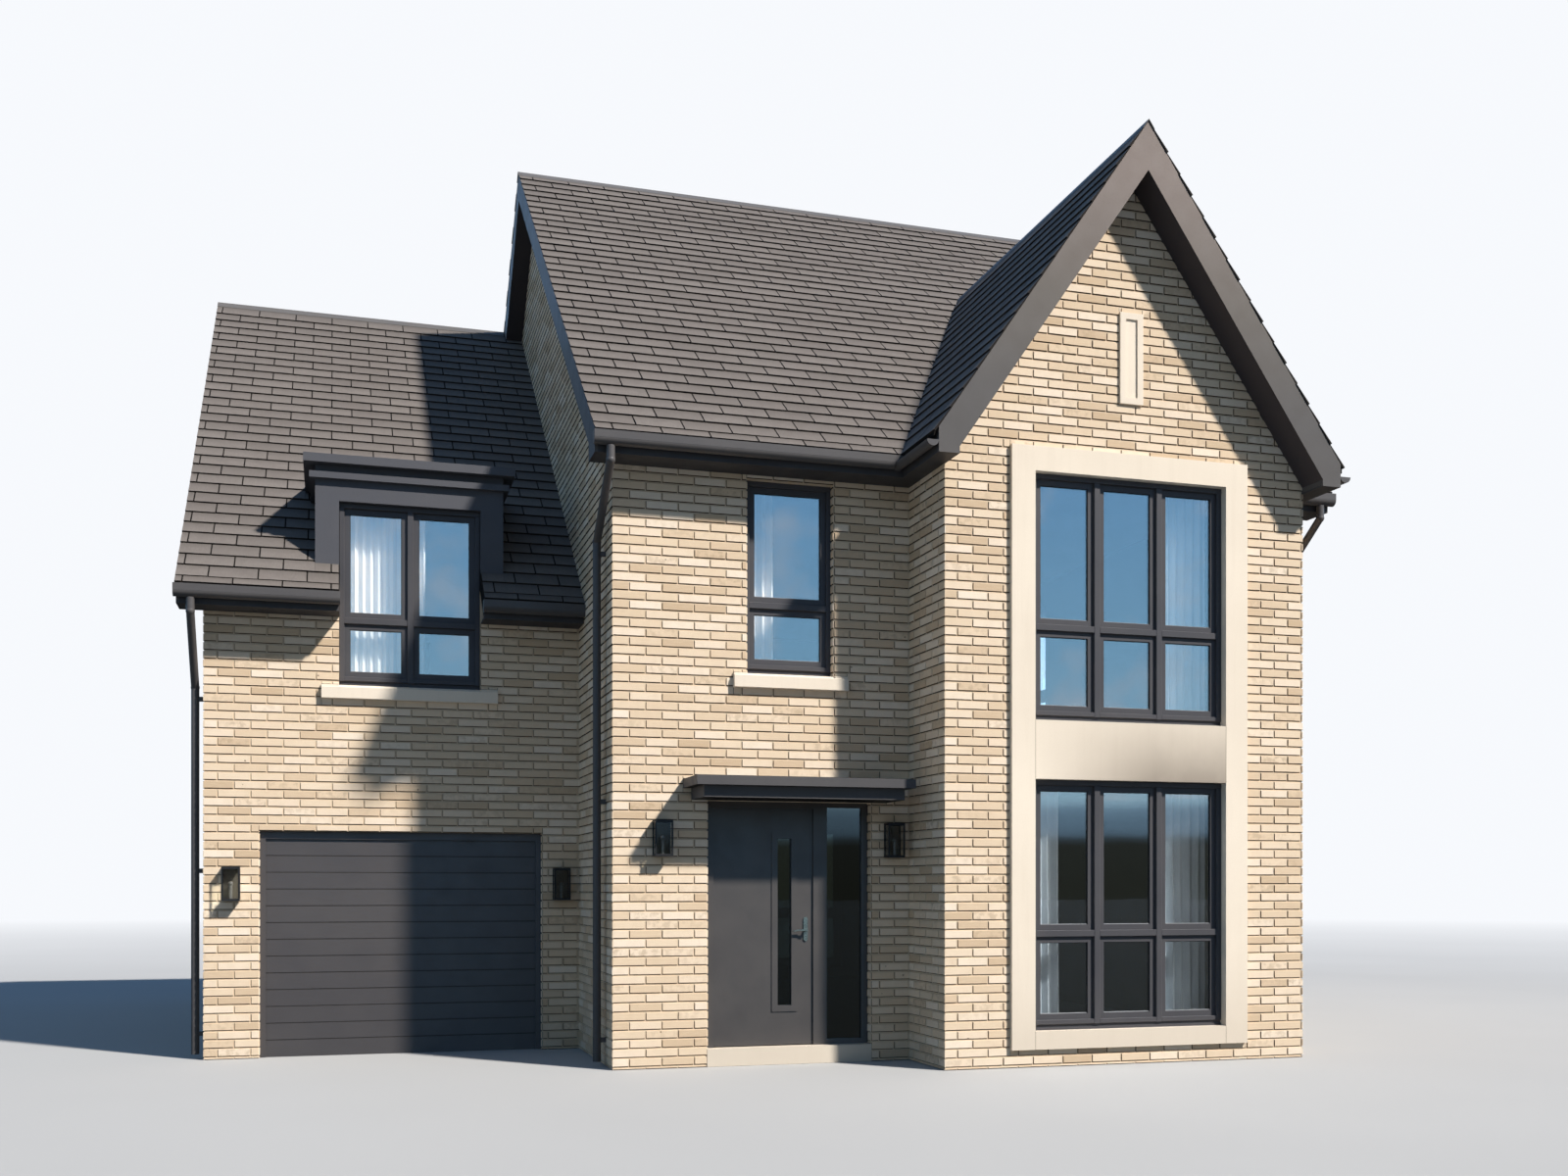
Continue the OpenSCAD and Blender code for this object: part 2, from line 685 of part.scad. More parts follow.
module garage_verge() color(dark) {
  for (s = [-1, 1]) {
    reach = s < 0 ? y_wing_ridge - y_wing : y_rear - y_wing_ridge;
    along_x(x_left - verge, x_left - verge + board_t,
      barge_outline(s, y_wing_ridge, wing_ridge_z, reach));
    verge_soffit(x_left - verge + board_t, x_left, s, y_wing_ridge, wing_ridge_z, reach);
  }
}
module bay_bargeboards() color(dark) {
  half = bay_w / 2;
  foot = half + over_b;
  low = tile_v + barge_vb;
  z = bay_ridge_z;
  for (s = [-1, 1]) {
    along_y(y_bay - bay_verge, y_bay - bay_verge + board_t,
      [[x_apex, z - barge_drop], [x_apex + s * foot, z - tb * foot - barge_drop],
       [x_apex + s * foot, soffit_z],
       [x_apex + s * half, soffit_z], [x_apex + s * half, z - tb * half - low], [x_apex, z - low]]);
    along_y(y_bay - bay_verge + board_t, y_bay,
      [[x_apex, z - low], [x_apex + s * half, z - tb * half - low],
       [x_apex + s * half, soffit_z + soffit_t], [x_apex + s * (half + soffit_t), soffit_z + soffit_t],
       [x_apex + s * (half + soffit_t), z - tb * (half + soffit_t) - low + soffit_t],
       [x_apex, z - low + soffit_t]]);
  }
}

// Fascias and soffits
module front_fascia(x0, x1, y, z)
  block(x0, x1, y - over, y - over + board_t, z - soffit_drop, z - tm * over - tile_v - seat);
module front_soffit(x0, x1, y, z)
  block(x0, x1, y - over + board_t, y, z - soffit_drop, z - soffit_drop + soffit_t);
module front_eaves() color(dark) {
  fascia_top = eave_z - tb * over_b - tile_v - seat;
  y_barge = y_bay - bay_verge + board_t;
  front_fascia(x_main - verge + board_t, x_bay - over_b + board_t, y_main, eave_z);
  front_soffit(x_main - verge + board_t, x_bay, y_main, eave_z);
  front_fascia(x_bay_r + over_b - board_t, x_right + verge - board_t, y_main, eave_z);
  front_soffit(x_bay_r, x_right + verge - board_t, y_main, eave_z);
  for (s = [0, 1]) translate([x_apex, 0, 0]) mirror([s, 0, 0]) {
    edge = -bay_w / 2 - over_b;
    block(edge, edge + board_t, y_barge, y_main - over + board_t, soffit_z, fascia_top);
    block(edge + board_t, -bay_w / 2, y_barge, y_main - over + board_t, soffit_z, soffit_z + soffit_t);
  }
}
module garage_eaves() color(dark) {
  for (span = [[x_left - verge + board_t, dormer_x0], [dormer_x1, x_main]]) {
    front_fascia(span[0], span[1], y_wing, wing_eave_z);
    front_soffit(span[0], span[1], y_wing, wing_eave_z);
  }
}
module rear_eaves() color(dark) {
  x0 = x_left - verge + board_t;
  x1 = x_right + verge - board_t;
  block(x0, x1, y_rear + over - board_t, y_rear + over, soffit_z, eave_z - tm * over - tile_v - seat);
  block(x0, x1, y_rear, y_rear + over - board_t, soffit_z, soffit_z + soffit_t);
}

// Gutters: a round foot, under upright sides where they are deep
module trough(x0, x1, r, h) {
  foot_r = h > 0 ? r - 1 : r;
  intersection() {
    translate([x0, 0, -h]) rotate([0, 90, 0]) cylinder(r = foot_r, h = x1 - x0, $fn = 48);
    block(x0 - lap, x1 + lap, -2 * r, 2 * r, -h - 2 * r, -h);
  }
  if (h > 0) block(x0, x1, -r, r, -h, 0);
}
module gutter(x0, x1, close0, close1, h)
  difference() {
    trough(x0, x1, gutter_r, h);
    translate([0, 0, lap / 10]) trough(x0 + (close0 ? gutter_t : -lap), x1 - (close1 ? gutter_t : -lap),
      gutter_r - gutter_t, h);
  }
y_gutter = y_main - over - gutter_r;
// The shallow gutters beside the bay; the main ones keep only their sides over them
bay_gutter_out = over_b + 2 * gutter_r;
module bay_gutter(x)
  translate([x, 0, gutter_z - gutter_h]) rotate([0, 0, 90])
    gutter(y_bay - bay_verge, y_main - over, true, true, 0);
module main_gutter(x0, x1, close0, close1, cut0, cut1) difference() {
  translate([0, y_gutter, gutter_z]) gutter(x0, x1, close0, close1, gutter_h);
  block(cut0, cut1, y_main - 2 * over, y_main, 0, gutter_z - gutter_h + gutter_gap);
}
module front_gutters() color(dark) {
  main_gutter(x_main - gutter_end, x_bay - over_b - lip_b - gutter_gap, true, false,
    x_bay - bay_gutter_out - gutter_gap, x_bay);
  main_gutter(x_bay_r + over_b + lip_b + gutter_gap, x_right + gutter_end, false, true,
    x_bay_r, x_bay_r + bay_gutter_out + gutter_gap);
  bay_gutter(x_bay - over_b - gutter_r);
  bay_gutter(x_bay_r + over_b + gutter_r);
}
module garage_gutters() color(dark) {
  past = gutter_gap + gutter_t;
  y = y_wing - over - gutter_r;
  translate([0, y, wing_gutter_z]) gutter(x_left - gutter_end, dormer_x0 + past, true, true, gutter_h);
  translate([0, y, wing_gutter_z]) gutter(dormer_x1 - past, x_main, true, false, gutter_h);
}
module rear_gutter() color(dark)
  translate([0, y_rear + over + gutter_r, gutter_z])
    gutter(x_left - gutter_end, x_right + gutter_end, true, true, gutter_h);

// Downpipes: straight lengths between points, with round knees
module pipe_length(a, b) {
  d = b - a;
  l = norm(d);
  translate(a) rotate([0, acos(d[2] / l), atan2(d[1], d[0])]) cylinder(r = pipe_r, h = l, $fn = 32);
}
module pipe(points) {
  for (i = [0:len(points) - 2]) pipe_length(points[i], points[i + 1]);
  for (i = [1:len(points) - 2]) translate(points[i]) sphere(r = pipe_r + knee, $fn = 32);
}
// Clips that hold a pipe to the wall at its side
module clips(x, y, zs, to_x, to_y)
  for (z = zs) {
    x1 = x + to_x * (pipe_r + pipe_gap);
    y1 = y + to_y * (pipe_r + pipe_gap);
    w = pipe_r / 2;
    block(min(x, x1) - (to_x == 0 ? w : 0), max(x, x1) + (to_x == 0 ? w : 0),
      min(y, y1) - (to_y == 0 ? w : 0), max(y, y1) + (to_y == 0 ? w : 0), z, z + clip_h);
  }
function under_gutter(z) = z - gutter_h - gutter_r + 1;
module side_pipe(x, y_out, y_in, z_gutter, z_soffit, z_neck, to_x) {
  pipe([[x, y_out, under_gutter(z_gutter)], [x, y_out, z_soffit - neck_drop], [x, y_in, z_neck],
        [x, y_in, shoe_z]]);
  clips(x, y_in, [z_neck - 3 * clip_h, z_neck / 2, 5 * clip_h], to_x, 0);
}
module rear_pipe(x) {
  y_out = y_rear + over + gutter_r;
  y_in = y_rear + pipe_gap + pipe_r;
  pipe([[x, y_out, under_gutter(gutter_z)], [x, y_out, soffit_z - neck_drop], [x, y_in, neck_z],
        [x, y_in, shoe_z]]);
  clips(x, y_in, [neck_z - 3 * clip_h, neck_z / 2, 5 * clip_h], 0, -1);
}
module downpipes() color(dark) {
  off = pipe_gap + pipe_r;
  side_pipe(x_main - off, y_gutter, y_main + pipe_back, gutter_z, soffit_z, neck_z, 1);
  side_pipe(x_right + off, y_gutter, y_main + pipe_back, gutter_z, soffit_z, neck_z, -1);
  side_pipe(x_left - off, y_wing - over - gutter_r, y_wing + wing_pipe_back, wing_gutter_z,
    wing_soffit_z, wing_neck_z, 1);
  rear_pipe(x_left + rear_pipe_in);
  rear_pipe(x_right - rear_pipe_in);
}

// Dormer: two cheeks on the roof, a beam, a moulding and a flat roof
module dormer_strip(out, z0, z1)
  along_x(dormer_x0 - cheek_w - out, dormer_x1 + cheek_w + out,
    [[y_wing - out, z0], [y_wing - out, z1], [wing_y(z1 - seat), z1], [wing_y(z0 - seat), z0]]);
module dormer_surround() color(dark) {
  for (x = [dormer_x0 - cheek_w, dormer_x1])
    along_x(x, x + cheek_w,
      [[y_wing, wing_eave_z + seat], [y_wing, dormer_top_z],
       [wing_y(dormer_top_z - seat), dormer_top_z]]);
  block(dormer_x0, dormer_x1, y_wing, y_wing + beam_d, win_z + win_h, dormer_top_z);
  difference() {
    dormer_strip(mould_out, mould_z, mould_z + mould_h);
    block(dormer_x0 - cheek_w, dormer_x1 + cheek_w, y_wing, y_rear, mould_z - lap, mould_z + mould_h + lap);
  }
}
module dormer_roof() color(dark)
  dormer_strip(dormer_roof_out, dormer_top_z, dormer_top_z + dormer_roof_t);

// Windows stand with their outer face at y = 0 and their foot at z = 0
function cell_w(w, cols) = (w - 2 * frame_w - (cols - 1) * bar_w) / cols;
function cell_x(w, cols, i) = frame_w + i * (cell_w(w, cols) + bar_w);
function cell_rows(h, transom) =
  [[frame_w + foot_rail, transom - bar_w / 2], [transom + bar_w / 2, h - frame_w]];
module window_frame(w, h, cols, transom) {
  cw = cell_w(w, cols);
  difference() {
    cube([w, frame_d, h]);
    for (i = [0:cols - 1], r = cell_rows(h, transom))
      translate([cell_x(w, cols, i), -lap, r[0]]) cube([cw, frame_d + 2 * lap, r[1] - r[0]]);
  }
  translate([0, -lip_out, 0]) cube([w, 2 * lip_out, lip_h]);
  for (i = [0:cols - 1], r = cell_rows(h, transom))
    translate([cell_x(w, cols, i), sash_back, r[0]]) difference() {
      cube([cw, sash_d, r[1] - r[0]]);
      translate([sash_w, -lap, sash_w])
        cube([cw - 2 * sash_w, sash_d + 2 * lap, r[1] - r[0] - 2 * sash_w]);
    }
}
module window_glass(w, h, cols, transom) {
  cw = cell_w(w, cols);
  for (i = [0:cols - 1], r = cell_rows(h, transom))
    translate([cell_x(w, cols, i) + sash_w, sash_back + glass_back, r[0] + sash_w])
      cube([cw - 2 * sash_w, glass_t, r[1] - r[0] - 2 * sash_w]);
}
module at_dormer() translate([dormer_x0, y_wing + reveal, win_z]) children();
module at_landing() translate([landing_x0, y_main + reveal, win_z]) children();
module at_bay(z) translate([bay_win_x0, y_bay + bay_reveal, z]) children();
module at_rear(x, w, z) translate([x + w / 2, y_rear - reveal, z]) rotate([0, 0, 180]) children();
module at_right(z)
  translate([x_right - reveal, y_ridge - landing_w / 2, z]) rotate([0, 0, 90]) children();
module dormer_window() color(dark) at_dormer() window_frame(dormer_w, win_h, 2, transom_z);
module landing_window() color(dark) at_landing() window_frame(landing_w, win_h, 1, transom_z);
module bay_upper_window() color(dark)
  at_bay(high_z) window_frame(bay_win_w, high_h, 3, high_transom_z);
module bay_lower_window() color(dark)
  at_bay(low_z) window_frame(bay_win_w, low_h, 3, low_transom_z);
module rear_windows() color(dark) {
  for (x = [x_door, x_apex, x_dormer])
    at_rear(x, dormer_w, win_z) window_frame(dormer_w, win_h, 2, transom_z);
  at_rear(x_door, dormer_w, ground_win_z) window_frame(dormer_w, win_h, 2, transom_z);
  at_rear(x_dormer, landing_w, ground_win_z) window_frame(landing_w, win_h, 1, transom_z);
  at_rear(x_apex, bay_win_w, low_z) window_frame(bay_win_w, low_h, 3, low_transom_z);
  for (z = [ground_win_z, win_z]) at_right(z) window_frame(landing_w, win_h, 1, transom_z);
}
module front_glass() color(glassy) {
  at_dormer() window_glass(dormer_w, win_h, 2, transom_z);
  at_landing() window_glass(landing_w, win_h, 1, transom_z);
  at_bay(high_z) window_glass(bay_win_w, high_h, 3, high_transom_z);
  at_bay(low_z) window_glass(bay_win_w, low_h, 3, low_transom_z);
}
module rear_glass() color(glassy) {
  for (x = [x_door, x_apex, x_dormer])
    at_rear(x, dormer_w, win_z) window_glass(dormer_w, win_h, 2, transom_z);
  at_rear(x_door, dormer_w, ground_win_z) window_glass(dormer_w, win_h, 2, transom_z);
  at_rear(x_dormer, landing_w, ground_win_z) window_glass(landing_w, win_h, 1, transom_z);
  at_rear(x_apex, bay_win_w, low_z) window_glass(bay_win_w, low_h, 3, low_transom_z);
  for (z = [ground_win_z, win_z]) at_right(z) window_glass(landing_w, win_h, 1, transom_z);
}

// Stone
module stone_surround() color(stone) difference() {
  block(bay_win_x0 - jamb_w, bay_win_x0 + bay_win_w + jamb_w, y_bay - stone_out, y_bay + stone_d,
    stone_foot_z, stone_top_z);
  for (z = [[low_z, low_top_z], [high_z, high_top_z]])
    block(bay_win_x0, bay_win_x0 + bay_win_w, y_bay - stone_out - lap, y_bay + stone_d + lap, z[0], z[1]);
}
module gable_plaque() color(stone) difference() {
  block(x_apex - plaque_w / 2, x_apex + plaque_w / 2, y_bay - plaque_t, y_bay,
    plaque_z, plaque_z + plaque_h);
  block(x_apex - plaque_w / 2 + plaque_rim, x_apex + plaque_w / 2 - plaque_rim,
    y_bay - plaque_t - lap, y_bay - plaque_t + plaque_sink,
    plaque_z + plaque_rim, plaque_z + plaque_h - plaque_rim);
}
module sill(x0, x1, y, more) {
  for (x = [x0 - more, x1]) block(x, x + more, y - sill_out, y, win_z - sill_h, win_z);
  along_x(x0, x1, [[y - sill_out, win_z - sill_h], [y, win_z - sill_h], [y, win_z],
    [y - sill_out, win_z - sill_fall]]);
}
module window_sills() color(stone) {
  sill(dormer_x0, dormer_x1, y_wing, dormer_sill_over);
  sill(landing_x0, landing_x0 + landing_w, y_main, sill_over);
}
module door_step() color(stone)
  block(door_x0, door_x1, y_main - step_out, y_main + wall_t, 0, floor_z);

// Flat canopy over the front door
module door_canopy() color(dark) {
  box_over = canopy_over - canopy_in;
  block(door_x0 - box_over, door_x1 + box_over, y_main - canopy_out + canopy_in, y_main,
    canopy_z, canopy_z + canopy_box_h);
  block(door_x0 - canopy_over, door_x1 + canopy_over, y_main - canopy_out, y_main,
    canopy_z + canopy_box_h, canopy_z + canopy_box_h + canopy_t);
}

// Front door
module front_door_frame() color(dark) {
  difference() {
    block(door_x0, door_x1, y_door, y_door + door_frame_d, floor_z, door_top_z);
    block(leaf_x0 - hinge_gap, post_x0, y_door + stop_t, y_door + door_frame_d + lap,
      floor_z - lap, door_top_z - door_head);
    block(leaf_x0 + stop_w, post_x0 - lock_gap - stop_w, y_door - lap, y_door + door_frame_d,
      floor_z - lap, leaf_z0 + leaf_h - stop_w);
    block(side_x0, side_x1, y_door - lap, y_door + door_frame_d + lap,
      floor_z + side_rail, door_top_z - door_head);
  }
  for (z = hinge_zs) translate([hinge_x, hinge_y, leaf_z0 + z]) {
    cylinder(r = knuckle_r, h = knuckle_h, $fn = 24);
    translate([-hinge_plate, -knuckle_r, 0]) cube([hinge_plate, knuckle_r / 2, knuckle_h]);
  }
}
module sidelight_glass() color(glassy)
  block(side_x0, side_x1, y_door + sash_back + glass_back, y_door + sash_back + glass_back + glass_t,
    floor_z + side_rail, door_top_z - door_head);
module front_door() color(dark) {
  slot0 = leaf_x0 + slot_x;
  difference() {
    union() {
      block(leaf_x0, leaf_x0 + leaf_w, leaf_y0, leaf_y1, leaf_z0, leaf_z0 + leaf_h);
      block(slot0 - bead_w, slot0 + slot_w + bead_w, leaf_y0 - bead_t, leaf_y1 + bead_t,
        leaf_z0 + slot_z - bead_w, leaf_z0 + slot_z + slot_h + bead_w);
    }
    block(slot0, slot0 + slot_w, leaf_y0 - bead_t - lap, leaf_y1 + bead_t + lap,
      leaf_z0 + slot_z, leaf_z0 + slot_z + slot_h);
  }
  for (z = hinge_zs) translate([hinge_x, hinge_y, leaf_z0 + z + knuckle_h + knuckle_gap]) {
    cylinder(r = knuckle_r, h = knuckle_h, $fn = 24);
    translate([0, leaf_y1 - hinge_y, 0])
      cube([hinge_plate, hinge_y - leaf_y1 - knuckle_r / 2, knuckle_h]);
  }
}
module front_door_glass() color(glassy)
  block(leaf_x0 + slot_x, leaf_x0 + slot_x + slot_w, (leaf_y0 + leaf_y1 - glass_t) / 2,
    (leaf_y0 + leaf_y1 + glass_t) / 2, leaf_z0 + slot_z, leaf_z0 + slot_z + slot_h);
// A plate with round ends, and a flat lever that droops to its tip
module handle() {
  half = (plate_h - plate_w) / 2;
  r = lever_r;
  l = lever_l;
  translate([0, 0, plate_h * 0.05]) {
    translate([-plate_w / 2, -plate_t, -half]) cube([plate_w, plate_t, 2 * half]);
    for (z = [-half, half])
      translate([0, 0, z]) rotate([90, 0, 0]) cylinder(r = plate_w / 2 - lap, h = plate_t, $fn = 32);
  }
  rotate([90, 0, 0]) cylinder(r = neck_r, h = plate_t + lever_out, $fn = 24);
  translate([0, r * 0.8 - plate_t - lever_out, 0]) rotate([90, 0, 0]) linear_extrude(r * 1.6)
    polygon([[r, -r], [r, r], [-0.2 * l, 1.2 * r], [-0.6 * l, r], [-l, -0.2 * r], [-l, -1.2 * r],
      [-0.6 * l, -0.4 * r], [-0.2 * l, -0.6 * r]]);
}
module front_door_handles() color(steel) {
  x = leaf_x0 + leaf_w - handle_in;
  translate([x, leaf_y0, leaf_z0 + handle_z]) handle();
  translate([x, leaf_y1, leaf_z0 + handle_z]) mirror([0, 1, 0]) handle();
}

// Garage door
y_garage_door = y_wing + garage_reveal;
module garage_door_frame() color(dark) difference() {
  block(garage_x0, garage_x1, y_garage_door, y_garage_door + garage_frame_d, 0, garage_door_h);
  block(garage_x0 + garage_jamb, garage_x1 - garage_jamb, y_garage_door - lap,
    y_garage_door + garage_frame_d + lap, -lap, garage_door_h - garage_head);
}
module garage_door() color(dark) {
  h = garage_door_h - garage_head;
  y0 = y_garage_door + panel_back;
  difference() {
    block(garage_x0 + garage_jamb, garage_x1 - garage_jamb, y0, y0 + panel_t, 0, h);
    for (i = [1:planks - 1])
      block(garage_x0, garage_x1, y0 - lap, y0 + groove_d,
        i * h / planks - groove_w / 2, i * h / planks + groove_w / 2);
  }
}

// Wall lanterns, each from its back at the wall
module lantern() {
  inner_h = lantern_h - 2 * lantern_cap;
  block(-(lantern_w - lantern_post) / 2, (lantern_w - lantern_post) / 2, -lantern_back, 0, 0, lantern_h);
  for (x = [-lantern_w / 2, lantern_w / 2 - lantern_post],
       y = [-lantern_d, -lantern_back - lantern_post])
    translate([x, y, lantern_cap]) cube([lantern_post, lantern_post, inner_h]);
  for (z = [0, lantern_h - lantern_cap])
    translate([-lantern_w / 2, -lantern_d, z]) cube([lantern_w, lantern_d - lantern_back, lantern_cap]);
}
module lamp() translate([0, -(lantern_d + lantern_back) / 2, lantern_cap]) {
  cylinder(r = lamp_r, h = lamp_h, $fn = 24);
  translate([0, 0, lamp_h]) sphere(r = lamp_r + bulb, $fn = 24);
}
module lantern_panes() {
  inner_h = lantern_h - 2 * lantern_cap;
  t = lantern_glass_t;
  in = (lantern_post - t) / 2;
  translate([-lantern_w / 2 + lantern_post, -lantern_d + in, lantern_cap])
    cube([lantern_w - 2 * lantern_post, t, inner_h]);
  for (x = [-lantern_w / 2 + in, lantern_w / 2 - in - t])
    translate([x, -lantern_d + lantern_post, lantern_cap])
      cube([t, lantern_d - lantern_back - 2 * lantern_post, inner_h]);
}
module at_lanterns() {
  translate([door_x0 - lantern_left, y_main, lantern_z]) children();
  translate([door_x1 + lantern_right, y_main, lantern_z]) children();
  translate([x_left + lantern_wing, y_wing, wing_lantern_z]) children();
  translate([x_main - lantern_inner, y_wing, wing_lantern_z]) children();
}
module wall_lanterns() color(dark) at_lanterns() lantern();
module lantern_lamps() color(pale) at_lanterns() lamp();
module lantern_glass() color(glassy) at_lanterns() lantern_panes();

ground_floor();
first_floor();
upper_ceiling();
garage_front_wall();
garage_side_wall();
garage_rear_wall();
main_left_wall();
front_wall_left();
front_wall_over_door();
front_wall_beside_bay();
bay_front_wall();
bay_side_walls();
right_wall();
rear_wall();
main_roof_front();
main_roof_rear();
bay_roof_left();
bay_roof_right();
garage_roof_front();
garage_roof_rear();
ridge_caps();
main_left_verge();
main_right_verge();
bay_bargeboards();
garage_verge();
front_eaves();
garage_eaves();
rear_eaves();
front_gutters();
garage_gutters();
rear_gutter();
downpipes();
dormer_surround();
dormer_roof();
dormer_window();
landing_window();
bay_upper_window();
bay_lower_window();
rear_windows();
front_glass();
rear_glass();
stone_surround();
gable_plaque();
window_sills();
door_step();
door_canopy();
front_door_frame();
sidelight_glass();
front_door();
front_door_glass();
front_door_handles();
garage_door_frame();
garage_door();
wall_lanterns();
lantern_lamps();
lantern_glass();
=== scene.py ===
import bmesh, bpy, math, random
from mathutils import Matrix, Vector


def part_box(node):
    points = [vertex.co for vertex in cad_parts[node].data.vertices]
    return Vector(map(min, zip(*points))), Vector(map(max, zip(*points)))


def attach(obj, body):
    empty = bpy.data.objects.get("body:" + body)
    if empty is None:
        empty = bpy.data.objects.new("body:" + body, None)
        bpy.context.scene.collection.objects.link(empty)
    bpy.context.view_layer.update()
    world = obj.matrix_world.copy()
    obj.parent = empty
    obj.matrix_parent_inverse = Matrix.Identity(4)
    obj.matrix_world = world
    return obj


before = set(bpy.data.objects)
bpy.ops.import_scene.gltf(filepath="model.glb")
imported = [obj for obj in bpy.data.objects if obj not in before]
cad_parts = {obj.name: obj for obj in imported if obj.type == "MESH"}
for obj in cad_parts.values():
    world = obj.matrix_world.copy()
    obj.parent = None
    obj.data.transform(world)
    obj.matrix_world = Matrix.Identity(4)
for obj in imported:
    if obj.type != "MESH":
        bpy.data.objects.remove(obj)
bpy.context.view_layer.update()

RND = random.Random(41)

# ---------------------------------------------------------------- lines of the house, from the CAD nodes' boxes


def lo(node, axis):
    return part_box(node)[0][axis]


def hi(node, axis):
    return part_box(node)[1][axis]


def span(node, axis):
    return lo(node, axis), hi(node, axis)


# Along x: the wing's side, the sides of the main block, the sides of the bay and the bay's ridge
XL, XM, XR = lo("garage_side_wall", 0), lo("main_left_wall", 0), hi("right_wall", 0)
XB, XBR = span("bay_front_wall", 0)
XA = (XB + XBR) / 2
# Along y: the fronts of the bay, the main block and the wing, the rear and the main ridge
YB, YM = lo("bay_front_wall", 1), lo("main_left_wall", 1)
YW, YR = lo("garage_side_wall", 1), hi("rear_wall", 1)
YG = (YM + YR) / 2
# Roof planes: the heights where they cross the faces of the walls, their rises and the ridges
EAVE, WING_EAVE = 5.410, 4.350
PITCH, BAY_PITCH = math.radians(40.25), math.radians(55.2)
TM, TB = math.tan(PITCH), math.tan(BAY_PITCH)
RATIO = TM / TB
RIDGE = EAVE + (YR - YG) * TM
BAY_RIDGE = EAVE + (XA - XB) * TB
# In plan, the wing's ridge and the point where the valleys meet
YWR = (RIDGE - WING_EAVE + TM * (YG + YW)) / (2 * TM)
YV = YG - (RIDGE - BAY_RIDGE) / TM
SOFFIT, WING_SOFFIT = lo("front_eaves", 2), lo("garage_eaves", 2)
# How far the roofs reach past the walls at eaves and verges, and the tiles past the verges
REACH, BAY_REACH = 0.357, 0.210
VERGE, BAY_VERGE, LAP = 0.2, 0.300, 0.008

# Openings of the front
DX0, DX1 = span("front_door_frame", 0)
GX0, GX1 = span("garage_door_frame", 0)
GZ = hi("garage_door_frame", 2)
LX0, LX1 = span("landing_window", 0)
WX0, WX1 = span("dormer_window", 0)
BW0, BW1 = span("bay_lower_window", 0)
WZ0, WZ1 = span("landing_window", 2)
SILL_LOW = lo("window_sills", 2)
# How far the two sills run past their windows
WING_SILL, MAIN_SILL = 0.15, 0.115

# ---------------------------------------------------------------- node materials


class Nodes:
    """Shorthand for a node tree."""

    def __init__(self, tree):
        self.tree = tree

    def put(self, value, socket):
        """Set a socket to a number or a colour, or link another socket to it."""
        if isinstance(value, tuple):
            socket.default_value = (*value, 1.0)
        elif isinstance(value, (int, float)):
            socket.default_value = value
        else:
            self.tree.links.new(value, socket)

    def node(self, kind, sockets=(), **settings):
        """A new node; sockets are pairs of an input's name or number and what goes into it."""
        n = self.tree.nodes.new(kind)
        for key, value in settings.items():
            setattr(n, key, value)
        for key, value in sockets:
            self.put(value, n.inputs[key])
        return n

    def xyz(self, vector):
        return self.node("ShaderNodeSeparateXYZ", [("Vector", vector)]).outputs

    def noise(self, scale, detail=3.0, rough=0.55, where=None):
        sockets = [("Scale", scale), ("Detail", detail), ("Roughness", rough), ("Vector", where or self.where)]
        return self.node("ShaderNodeTexNoise", sockets).outputs["Fac"]

    def spread(self, value, low, high, to_low=0.0, to_high=1.0):
        sockets = [("Value", value), ("From Min", low), ("From Max", high), ("To Min", to_low), ("To Max", to_high)]
        return self.node("ShaderNodeMapRange", sockets).outputs["Result"]

    def maths(self, what, a, b):
        return self.node("ShaderNodeMath", [(0, a), (1, b)], operation=what).outputs["Value"]

    def product(self, first, *factors):
        for factor in factors:
            first = self.maths("MULTIPLY", first, factor)
        return first

    def between(self, value, low, high):
        """1 where a value lies between two bounds, and 0 elsewhere."""
        return self.product(self.maths("GREATER_THAN", value, low), self.maths("LESS_THAN", value, high))

    def ramp(self, value, stops):
        n = self.node("ShaderNodeValToRGB", [("Fac", value)])
        elements = n.color_ramp.elements
        while len(elements) < len(stops):
            elements.new(0.5)
        for element, (position, colour) in zip(elements, stops):
            element.position = position
            element.color = (*colour, 1.0)
        return n.outputs["Color"]

    def mix(self, fac, a, b):
        return self.node("ShaderNodeMix", [(0, fac), (6, a), (7, b)], data_type="RGBA").outputs[2]

    def stain(self, colour, other, value, low, high, most=1.0):
        """A colour that goes over to another one, by most in the end, as a value rises from low to high."""
        return self.mix(self.spread(value, low, high, 0.0, most), colour, other)

    def mix_shader(self, fac, a, b):
        return self.node("ShaderNodeMixShader", [(0, fac), (1, a), (2, b)]).outputs["Shader"]

    def path(self):
        return self.node("ShaderNodeLightPath").outputs

    def in_view(self, path):
        """1 for a ray that mirrors or passes glass and has met no matt surface on its way from the camera."""
        sharp = self.maths("MAXIMUM", path["Is Glossy Ray"], path["Is Transmission Ray"])
        return self.product(sharp, self.maths("LESS_THAN", path["Diffuse Depth"], 0.5))


